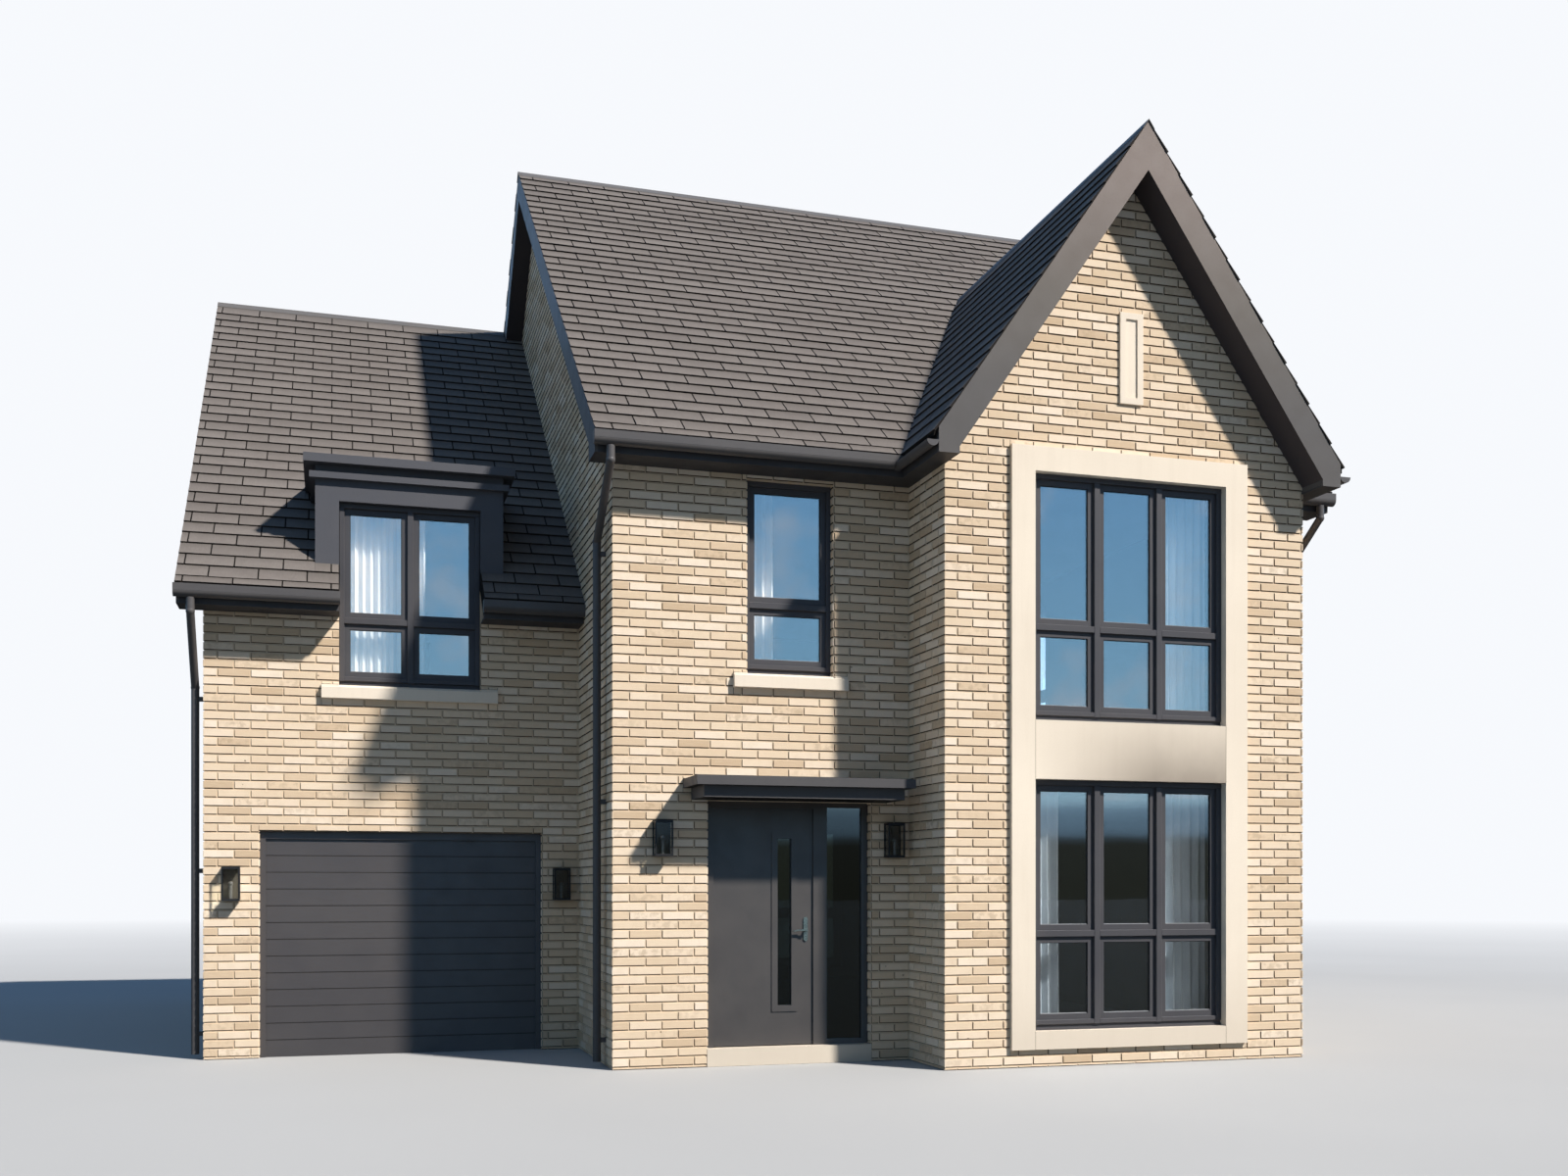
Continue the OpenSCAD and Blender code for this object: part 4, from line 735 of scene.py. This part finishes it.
def brick_all():
    gable = under_gable(YG, RIDGE, TM, PITCH)

    c = Cells("bricks_garage_front", BRICK, "brick")
    holes = [(GX0, GX1, BELOW, GZ), (WX0, WX1, WZ0, ABOVE), sill_hole(WX0, WX1, WING_SILL)]
    lay_bricks(c, front_place(YW), XL - PROUD, XM, 0.0, WING_SOFFIT, holes=holes, start=WING_BOND)
    lay_reveals(c, GX0, GX1, YW, WING_REVEAL, 0.0, GZ)
    c.finish()

    c = Cells("bricks_garage_side", BRICK, "brick")
    wing_gable = [(-TM, 1, WING_EAVE - TM * YW - boards(PITCH)), gable[1]]
    lay_bricks(c, side_place(XL, -1), YW - PROUD, YR + PROUD, 0.0, ABOVE, wing_gable, shift=1)
    c.finish()

    # Left side of the main block: beside the wing's front, and over its roof
    c = Cells("bricks_main_left", BRICK, "brick")
    lay_bricks(c, side_place(XM, -1), YM - PROUD, YW, 0.0, ABOVE, gable)
    over_wing = gable + [(TM, -1, TM * YW - WING_EAVE)]
    lay_bricks(c, side_place(XM, -1), YW, YR, 4.0, GABLE_TOP, over_wing, start=YM - PROUD)
    c.finish()

    # Front of the main block, on both sides of the bay
    c = Cells("bricks_main_front", BRICK, "brick")
    x0, x1, z0, z1 = front_hole("door_canopy")
    holes = [(DX0, DX1, BELOW, z0), (x0 + CANOPY_IN, x1 - CANOPY_IN, z0, z1 - CANOPY_TOP),
             (x0, x1, z1 - CANOPY_TOP, z1), (LX0, LX1, WZ0, WZ1), sill_hole(LX0, LX1, MAIN_SILL)]
    lay_bricks(c, front_place(YM), XM - PROUD, XB, 0.0, SOFFIT, holes=holes, start=MAIN_BOND)
    lay_bricks(c, front_place(YM), XBR, XR + PROUD, 0.0, SOFFIT, start=MAIN_BOND)
    lay_reveals(c, DX0, DX1, YM, REVEAL, THRESHOLD, z0)
    lay_reveals(c, LX0, LX1, YM, REVEAL, WZ0, WZ1)
    c.finish()

    c = Cells("bricks_bay_front", BRICK, "brick")
    holes = [front_hole("stone_surround"), front_hole("gable_plaque")]
    lay_bricks(c, front_place(YB), XB - PROUD, XBR + PROUD, 0.0, BAY_TOP,
               under_gable(XA, BAY_RIDGE, TB, BAY_PITCH), holes, start=BAY_BOND)
    c.finish()

    c = Cells("bricks_bay_sides", BRICK, "brick")
    for x, way in ((XB, -1), (XBR, 1)):
        lay_bricks(c, side_place(x, way), YB - PROUD, YM, 0.0, SOFFIT, shift=1)
    c.finish()

    c = Cells("bricks_right", BRICK, "brick")
    holes = [(YG - NARROW, YG + NARROW, z0, z1) for z0, z1 in ((SILL, HEAD), (WZ0, WZ1))]
    lay_bricks(c, side_place(XR, 1), YM - PROUD, YR + PROUD, 0.0, GABLE_TOP, gable, holes, 1)
    c.finish()

    c = Cells("bricks_rear", BRICK, "brick")
    door, dormer = (DX0 + DX1) / 2, (WX0 + WX1) / 2
    holes = [(x - WIDE, x + WIDE, WZ0, WZ1) for x in (door, XA, dormer)]
    holes += [(x - half, x + half, z, HEAD) for x, half, z in (
        (door, WIDE, SILL), (dormer, NARROW, SILL), (XA, GARDEN, GARDEN_SILL))]
    lay_bricks(c, front_place(YR, 1), XL - PROUD, XR + PROUD, 0.0, SOFFIT, holes=holes)
    c.finish()


# ---------------------------------------------------------------- tiles

# A tile with its joint, the joint, a tile's height over the slope at its foot, and what it loses up to its head
TILE_W, TILE_JOINT, TILE_HIGH, TILE_FALL = 0.400, 0.011, 0.0170, 0.0155
# How much tiles vary: along the slope, in height and by how much they turn
DROP, LIFT, SKEW = 0.0022, 0.0007, 0.001
# How far a tile runs on under the next course, and the least width and area of a piece that is kept
UNDER, LEAST_TILE, LEAST_TILE_AREA = 0.004, 0.03, 0.0008
# In plan: the step from course to course up the main and the bay's slopes, and where the second course starts
STEP, BAY_STEP = 0.1487, 0.1137
FIRST, WING_FIRST, BAY_FIRST = 0.090, 0.079, 0.134
# Where the front slopes' upright joints stand
MAIN_TILES, WING_TILES = -0.0365, -0.176
# What the ridge caps cover of a slope, in plan
CAPPED, BAY_CAPPED = 0.095, 0.055
# Upright depth of the dormer's roof, and how far its cheeks reach over the tiles
DORMER_ROOF, CHEEK = 0.075, 0.05


def slope_place(origin, along, rise):
    """A roof slope: u along the eave, s up the slope in plan, with the true height over it."""
    o, a, up = Vector(origin), Vector(along), Vector(rise)
    n = a.cross(up).normalized()
    n = n if n.z > 0 else -n
    return lambda u, s, h: tuple(o + a * u + up * s + n * h)


def lay_tiles(cells, place, u0, u1, s_end, first, start, step=STEP, planes=(), holes=()):
    """Half-bond courses up a slope. s runs in plan from 0 at the eave's tip to s_end; the second course starts
    at first, and each next one a step higher."""
    edges = [0.0]
    while first + step * (len(edges) - 1) < s_end - LEAST_TILE:
        edges.append(first + step * (len(edges) - 1))
    edges.append(s_end)
    for row, (s0, s1) in enumerate(zip(edges, edges[1:])):
        for left in bond(u0, u1, start + (row % 2) * TILE_W / 2, TILE_W):
            a = left + TILE_JOINT / 2
            b = a + TILE_W - TILE_JOINT
            a, b = max(a, u0), min(b, u1)
            if b - a < LEAST_TILE:
                continue
            drop = RND.uniform(-DROP, DROP) if row else 0.0
            lift = RND.uniform(-LIFT, LIFT)
            skew = RND.uniform(-SKEW, SKEW)
            poly = [(a, s0 + drop - skew), (b, s0 + drop + skew), (b, s1 + UNDER), (a, s1 + UNDER)]
            poly = clip_all(poly, planes)
            if not poly:
                continue

            def height(u, s):
                return TILE_HIGH + lift - TILE_FALL * max(0.0, min(1.0, (s - s0) / step))

            def fade(s):
                return max(0.0, min(1.0, (s - s0) / (s1 - s0)))

            for p in minus_boxes(poly, holes):
                if area(p) >= LEAST_TILE_AREA:
                    cells.add(place, p, height, TILE_EDGE, fade=fade)


def tile_all():
    out = REACH - 0.001
    wing_left, left, right = XL - VERGE - LAP, XM - VERGE - LAP, XR + VERGE + LAP

    # Main front slope, less what the bay's roof covers: left of the left valley, right of the right one and above
    c = Cells("tiles_main_front", TILE, "slate")
    y0 = YM - out
    top, end = YV - y0, YG - y0 - CAPPED
    place = slope_place((0, y0, EAVE - TM * out), (1, 0, 0), (0, 1, TM))
    for u0, u1, planes in ((left, XA, [(1, -RATIO, XA - RATIO * top), (0, 1, top)]),
                           (XA, right, [(-1, -RATIO, -XA - RATIO * top), (0, 1, top)]),
                           (left, right, [(0, -1, -top)])):
        lay_tiles(c, place, u0, u1, end, FIRST, MAIN_TILES, planes=planes)
    c.finish()

    # Main rear slope; its lower part runs on over the wing in the same plane
    c = Cells("tiles_rear", TILE, "slate")
    y1 = YR + out
    place = slope_place((0, y1, EAVE - TM * out), (1, 0, 0), (0, -1, TM))
    lay_tiles(c, place, left, right, y1 - YG - CAPPED, FIRST, left)
    lay_tiles(c, place, wing_left, left, y1 - YG - CAPPED, FIRST, left, planes=[(0, 1, y1 - YWR - CAPPED)])
    c.finish()

    # Wing front slope, round the dormer
    c = Cells("tiles_wing_front", TILE, "slate")
    y0 = YW - out
    place = slope_place((0, y0, WING_EAVE - TM * out), (1, 0, 0), (0, 1, TM))
    x0, x1 = span("dormer_surround", 0)
    roof_top = hi("dormer_roof", 2)
    wall = YW - y0
    low, high = ((z - WING_EAVE) / TM + wall for z in (roof_top - DORMER_ROOF, roof_top))
    holes = [(WX0 - 0.004, WX1 + 0.004, BELOW, wall), (x0 + CHEEK, x1 - CHEEK, wall, low),
             (*span("dormer_roof", 0), low, high)]
    lay_tiles(c, place, wing_left, XM, YWR - y0 - CAPPED, WING_FIRST, WING_TILES, holes=holes)
    c.finish()

    # Bay slopes: u is y, and s runs from the eave's tip towards the ridge, in front of the valley
    c = Cells("tiles_bay", TILE, "slate")
    q = XA - XB + BAY_REACH - 0.001
    front = YB - BAY_VERGE - LAP
    planes = [(1, -1 / RATIO, YV - q / RATIO)]
    for way in (-1, 1):
        place = slope_place((XA + way * q, 0, BAY_RIDGE - TB * q), (0, 1, 0), (-way, 0, TB))
        lay_tiles(c, place, front, YV, q - BAY_CAPPED, BAY_FIRST, front, BAY_STEP, planes)
    c.finish()


brick_all()
tile_all()

# ---------------------------------------------------------------- curtains


PER_FOLD, ROWS = 14, 26


def curtain(name, x0, x1, y, z0, z1, folds, deep, seed, side, cloth):
    """A hanging curtain gathered into soft upright folds, of one surface."""
    r = random.Random(seed)
    n = folds * PER_FOLD
    phase = [r.uniform(-0.5, 0.5) for _ in range(folds + 1)]
    size = [r.uniform(0.6, 1.25) for _ in range(folds + 1)]
    verts = []
    for j in range(ROWS + 1):
        v = j / ROWS
        z = z0 + (z1 - z0) * v
        # The folds are tighter at the head
        tight = 0.80 + 0.20 * (1 - v)
        for i in range(n + 1):
            t = i / n
            f = t * folds
            k = int(min(folds - 1, f))
            w = size[k] * (1 - (f - k)) + size[k + 1] * (f - k)
            p = phase[k] * (1 - (f - k)) + phase[k + 1] * (f - k)
            a = deep * w * tight
            yy = y + a * math.sin(2 * math.pi * f + p) + 0.012 * math.sin(3.1 * v + 5 * t + seed)
            xx = x0 + (x1 - x0) * t + 0.25 * a * math.sin(4 * math.pi * f + p)
            verts.append((xx, yy, z))
    m = n + 1
    faces = [[j * m + i, j * m + i + 1, (j + 1) * m + i + 1, (j + 1) * m + i] for j in range(ROWS) for i in range(n)]
    obj = new_object(name, verts, faces, cloth, "plasterboard")
    for p in obj.data.polygons:
        p.use_smooth = True


# Name, x and y, foot and head, folds, their depth, seed, the wall that it hangs behind, cloth
BAY_Y = YB + 0.34
BAY_LOW, BAY_HIGH = (0.20, 2.47), (2.83, 5.05)
for row in (
    ("curtain_dormer", WX0 + 0.02, WX0 + 0.76, YW + 0.30, WZ0 - 0.1, WZ1 - 0.03, 11, 0.040, 3,
     "garage_front_wall", CLOTH),
    ("curtain_landing", LX0 + 0.01, LX0 + 0.33, YM + 0.36, WZ0 - 0.1, WZ1 + 0.05, 4, 0.028, 5,
     "front_wall_over_door", CLOTH),
    ("curtain_bay_low_left", BW0 - 0.06, BW0 + 0.40, BAY_Y, *BAY_LOW, 5, 0.028, 7, "bay_front_wall", SHADED_CLOTH),
    ("curtain_bay_low_right", BW1 - 0.47, BW1 + 0.06, BAY_Y, *BAY_LOW, 6, 0.028, 9, "bay_front_wall", SHADED_CLOTH),
    ("curtain_bay_high_right", BW1 - 0.42, BW1 + 0.06, BAY_Y, *BAY_HIGH, 6, 0.028, 11, "bay_front_wall", SHADED_CLOTH),
):
    curtain(*row)

# ---------------------------------------------------------------- strips of windows, garage door and sills

# Columns of panes, and the height of the transom's middle over the window's foot
WINDOWS = (("dormer_window", 2, 0.585), ("landing_window", 1, 0.585), ("bay_upper_window", 3, 0.782),
           ("bay_lower_window", 3, 0.805))
# Widths of a frame, its foot's extra width, a mullion or transom and a sash, and the depth of a frame
FRAME_W, FOOT_MORE, BAR_W, SASH_W, FRAME_DEEP = 0.045, 0.040, 0.055, 0.048, 0.070
# How far the glass stands back, how thick it is, and the height of a seal
GLASS_BACK, GLASS_THICK, SEAL_W = 0.022, 0.024, 0.005
# How far a seal stands out of the glass and reaches into it
SEAL_OUT, SEAL_IN = 0.003, 0.001
# How far a cover strip stands out, and its eased edge
STRIP_OUT, EASE = 0.020, 0.004
# Keeps a strip's faces out of the planes of its neighbour's
SHY = 0.001
# Panels of the garage door; the seals' near and far depth in its grooves, and half their height
PANELS = 13
GROOVE_NEAR, GROOVE_FAR, GROOVE_HALF = 0.0028, 0.0072, 0.0052
# How far the sills stand out of the walls, and a nosing in front of them and below their top
SILL_OUT, NOSING = 0.039, 0.021


def add_box(verts, faces, x0, x1, y0, y1, z0, z1):
    s = len(verts)
    verts += [(x, y, z) for x in (x0, x1) for y in (y0, y1) for z in (z0, z1)]
    faces += [[s + i for i in f] for f in
              ((0, 1, 3, 2), (4, 6, 7, 5), (0, 4, 5, 1), (2, 3, 7, 6), (0, 2, 6, 4), (1, 5, 7, 3))]


def add_cap(verts, faces, x0, x1, z0, z1, y, out, upright=False):
    """A strip on the plane y, proud by out, with its two long edges eased."""
    s = len(verts)
    section = ((0, 0.0, 0), (0, out - EASE, 0), (0, out, EASE), (1, out, -EASE), (1, out - EASE, 0), (1, 0.0, 0))
    if upright:
        verts += [((x0, x1)[k] + e, y - d, z) for z in (z0, z1) for k, d, e in section]
    else:
        verts += [(x, y - d, (z0, z1)[k] + e) for x in (x0, x1) for k, d, e in section]
    faces += [[s + i for i in range(6)], [s + 6 + i for i in range(6)]]
    faces += [[s + i, s + (i + 1) % 6, s + 6 + (i + 1) % 6, s + 6 + i] for i in range(6)]


def columns(node, cols):
    """The left edges and the width of a window's columns, between its frame and its mullions."""
    x0, x1 = span(node, 0)
    width = (x1 - x0 - 2 * FRAME_W - (cols - 1) * BAR_W) / cols
    return [x0 + FRAME_W + i * (width + BAR_W) for i in range(cols)], width


def seals():
    """Black rubber strips round each pane and a paler bead at its foot, on both faces of the glass."""
    verts, faces, low_verts, low_faces = [], [], [], []
    w = SEAL_W
    for node, cols, transom in WINDOWS:
        z0, z1 = span(node, 2)
        near = hi(node, 1) - FRAME_DEEP + GLASS_BACK
        far = near + GLASS_THICK
        lefts, width = columns(node, cols)
        for left in lefts:
            a = left + SASH_W
            b = a + width - 2 * SASH_W
            for c, d in ((FRAME_W + FOOT_MORE + SASH_W, transom - BAR_W / 2 - SASH_W),
                         (transom + BAR_W / 2 + SASH_W, z1 - z0 - FRAME_W - SASH_W)):
                c, d = z0 + c, z0 + d
                for y0, y1 in ((near - SEAL_OUT, near + SEAL_IN), (far - SEAL_IN, far + SEAL_OUT)):
                    for box in ((a, b, y0, y1, d - w, d), (a, a + w, y0, y1, c, d), (b - w, b, y0, y1, c, d)):
                        add_box(verts, faces, *box)
                    add_box(low_verts, low_faces, a + w, b - w, y0 - SHY, y1, c, c + w)
    new_object("glazing_seals", verts, faces, BLACK, "window_frame")
    new_object("glazing_beads", low_verts, low_faces, BEAD, "window_frame")


def bars():
    """Cover strips on the frames, mullions and transoms, so that the sashes stand back between them."""
    verts, faces = [], []
    for node, cols, transom in WINDOWS:
        (x0, x1), (z0, z1) = span(node, 0), span(node, 2)
        y = hi(node, 1) - FRAME_DEEP + SHY
        lefts, width = columns(node, cols)
        foot = z0 + FRAME_W + FOOT_MORE
        middle = z0 + transom
        ups = [(x0 + SHY, x0 + FRAME_W), (x1 - FRAME_W, x1 - SHY)]
        ups += [(a + width, b) for a, b in zip(lefts, lefts[1:])]
        for a, b in ups:
            add_cap(verts, faces, a, b, foot - FOOT_MORE, z1 - FRAME_W, y, STRIP_OUT, upright=True)
        add_cap(verts, faces, x0 + SHY, x1 - SHY, z1 - FRAME_W, z1 - SHY, y, STRIP_OUT)
        for a in lefts:
            for low, high in ((middle - BAR_W / 2, middle + BAR_W / 2), (foot - FOOT_MORE, foot)):
                add_cap(verts, faces, a, a + width, low, high, y, STRIP_OUT - SHY)
    new_object("window_bars", verts, faces, FRAME, "window_frame")


def door_seals():
    """Seals in the grooves between the garage door's panels, painted darker than the door as shade in the grooves."""
    (x0, y0, z0), (x1, _, z1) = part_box("garage_door")
    verts, faces = [], []
    for i in range(1, PANELS):
        z = z0 + i * (z1 - z0) / PANELS
        add_box(verts, faces, x0 + SHY, x1 - SHY, y0 + GROOVE_NEAR, y0 + GROOVE_FAR, z - GROOVE_HALF, z + GROOVE_HALF)
    new_object("door_seals", verts, faces, GROOVE_SHADE, "garage_paint")


def nosings():
    verts, faces = [], []
    for x0, x1, more, y in ((WX0, WX1, WING_SILL, YW), (LX0, LX1, MAIN_SILL, YM)):
        add_cap(verts, faces, x0 - more, x1 + more, SILL_LOW, WZ0 - NOSING, y - SILL_OUT, NOSING)
    new_object("sill_nosings", verts, faces, STONE, "cast_stone")


seals()
bars()
door_seals()
nosings()

# ---------------------------------------------------------------- camera, sun and stage

# As fitted to the photo: the camera's place, its turn to the right in degrees, its lens, its sensor's width and its
# upward shift
CAMERA_AT, CAMERA_TURN = (-3.745, -16.545, 1.49), 16.68
LENS, SENSOR, SHIFT = 34.41, 36.0, 0.191
# The way that the sun shines, its strength, its width in degrees and its colour
SUN_WAY, SUN_STRENGTH, SUN_WIDTH, SUN_COLOUR = (-0.87, 1.0, -1.235), 5.5, 3.0, (1.0, 0.945, 0.87)
BACKDROP = (0.93, 0.95, 0.985)
# Half the width of the stage's floor, and its height
FLOOR_HALF, FLOOR_Z = 160.0, -0.002

scene = bpy.context.scene
scene.view_settings.view_transform = "Standard"
cam_data = bpy.data.cameras.new("camera")
cam_data.sensor_fit = "HORIZONTAL"
cam_data.sensor_width = SENSOR
cam_data.lens = LENS
cam_data.shift_y = SHIFT
cam_data.clip_end = 400.0
cam = bpy.data.objects.new("camera", cam_data)
cam.location = CAMERA_AT
cam.rotation_euler = (math.radians(90), 0, math.radians(-CAMERA_TURN))
scene.collection.objects.link(cam)
scene.camera = cam

sun_data = bpy.data.lights.new("sun", "SUN")
sun_data.energy = SUN_STRENGTH
sun_data.angle = math.radians(SUN_WIDTH)
sun_data.color = SUN_COLOUR
sun = bpy.data.objects.new("sun", sun_data)
sun.rotation_euler = Vector(SUN_WAY).to_track_quat("-Z", "Y").to_euler()
scene.collection.objects.link(sun)


def stage_material():
    """A pale floor that fades into the backdrop; the light that it throws back is that of a mid-grey floor."""
    m = Mat("stage_floor", 0.95, 0.1)
    path = m.path()
    pale = m.stain((0.47, 0.475, 0.48), (0.50, 0.505, 0.51), m.noise(0.15), 0.3, 0.7)
    thrown = m.mix(m.in_view(path), (0.135, 0.150, 0.165), (0.008, 0.009, 0.003))
    m.colour(m.mix(path["Is Camera Ray"], thrown, pale))
    distance = m.node("ShaderNodeVectorMath", [(0, m.where)], operation="LENGTH").outputs["Value"]
    glow = m.node("ShaderNodeEmission", [("Color", BACKDROP)])
    far = m.product(m.spread(distance, 14.0, 60.0), path["Is Camera Ray"])
    m.surface(far, glow.outputs["Emission"])
    return m.mat


mesh = bpy.data.meshes.new("stage_floor")
corners = [(x * FLOOR_HALF, y * FLOOR_HALF, FLOOR_Z) for x, y in ((-1, -1), (1, -1), (1, 1), (-1, 1))]
mesh.from_pydata(corners, [], [[0, 1, 2, 3]])
mesh.materials.append(stage_material())
ground = bpy.data.objects.new("stage_floor", mesh)
scene.collection.objects.link(ground)

# ---------------------------------------------------------------- world

# A cool fill, stronger from the left, a pale backdrop for the camera, and for what mirrors or passes glass on the
# way from the camera a blue shine over a dark foot, with soft pale patches. Light that a room's walls gather keeps
# the fill.
FILL = ((0.0, (0.70, 0.92, 1.0)), (0.35, (0.38, 0.62, 1.0)), (1.0, (0.26, 0.48, 0.90)))
LEFT_FILL = ((0.0, (0.57, 0.88, 1.0)), (0.35, (0.37, 0.66, 1.0)), (1.0, (0.26, 0.48, 0.90)))
SHINE = ((0.0, (0.034, 0.038, 0.032)), (0.030, (0.038, 0.044, 0.040)), (0.036, (0.16, 0.26, 0.36)),
         (0.050, (0.22, 0.36, 0.50)), (0.057, (0.50, 0.80, 1.0)), (0.15, (0.34, 0.68, 1.0)),
         (0.40, (0.17, 0.46, 0.95)), (1.0, (0.08, 0.24, 0.62)))
PATCH_FOOT = 0.057

world = bpy.data.worlds.new("studio")
scene.world = world
world.use_nodes = True
w = Nodes(world.node_tree)
w.tree.nodes.remove(w.tree.nodes["Background"])
way = w.node("ShaderNodeTexCoord").outputs["Generated"]
height = w.xyz(way)["Z"]


def background(colour, strength=1.0):
    return w.node("ShaderNodeBackground", [("Color", colour), ("Strength", strength)]).outputs["Background"]


left = w.spread(w.xyz(way)["X"], -0.2, -0.9)
fill = w.mix_shader(left, background(w.ramp(height, FILL), 0.23), background(w.ramp(height, LEFT_FILL), 0.40))
patches = w.product(w.spread(w.noise(10.0, 5.0, 0.6, way), 0.52, 0.66, 0.0, 0.55),
                    w.maths("GREATER_THAN", height, PATCH_FOOT))
shine = background(w.mix(patches, w.ramp(height, SHINE), (0.78, 0.86, 0.98)), 1.6)
path = w.path()
unseen = w.mix_shader(w.in_view(path), fill, shine)
w.put(w.mix_shader(path["Is Camera Ray"], unseen, background(BACKDROP)),
      w.tree.nodes["World Output"].inputs["Surface"])
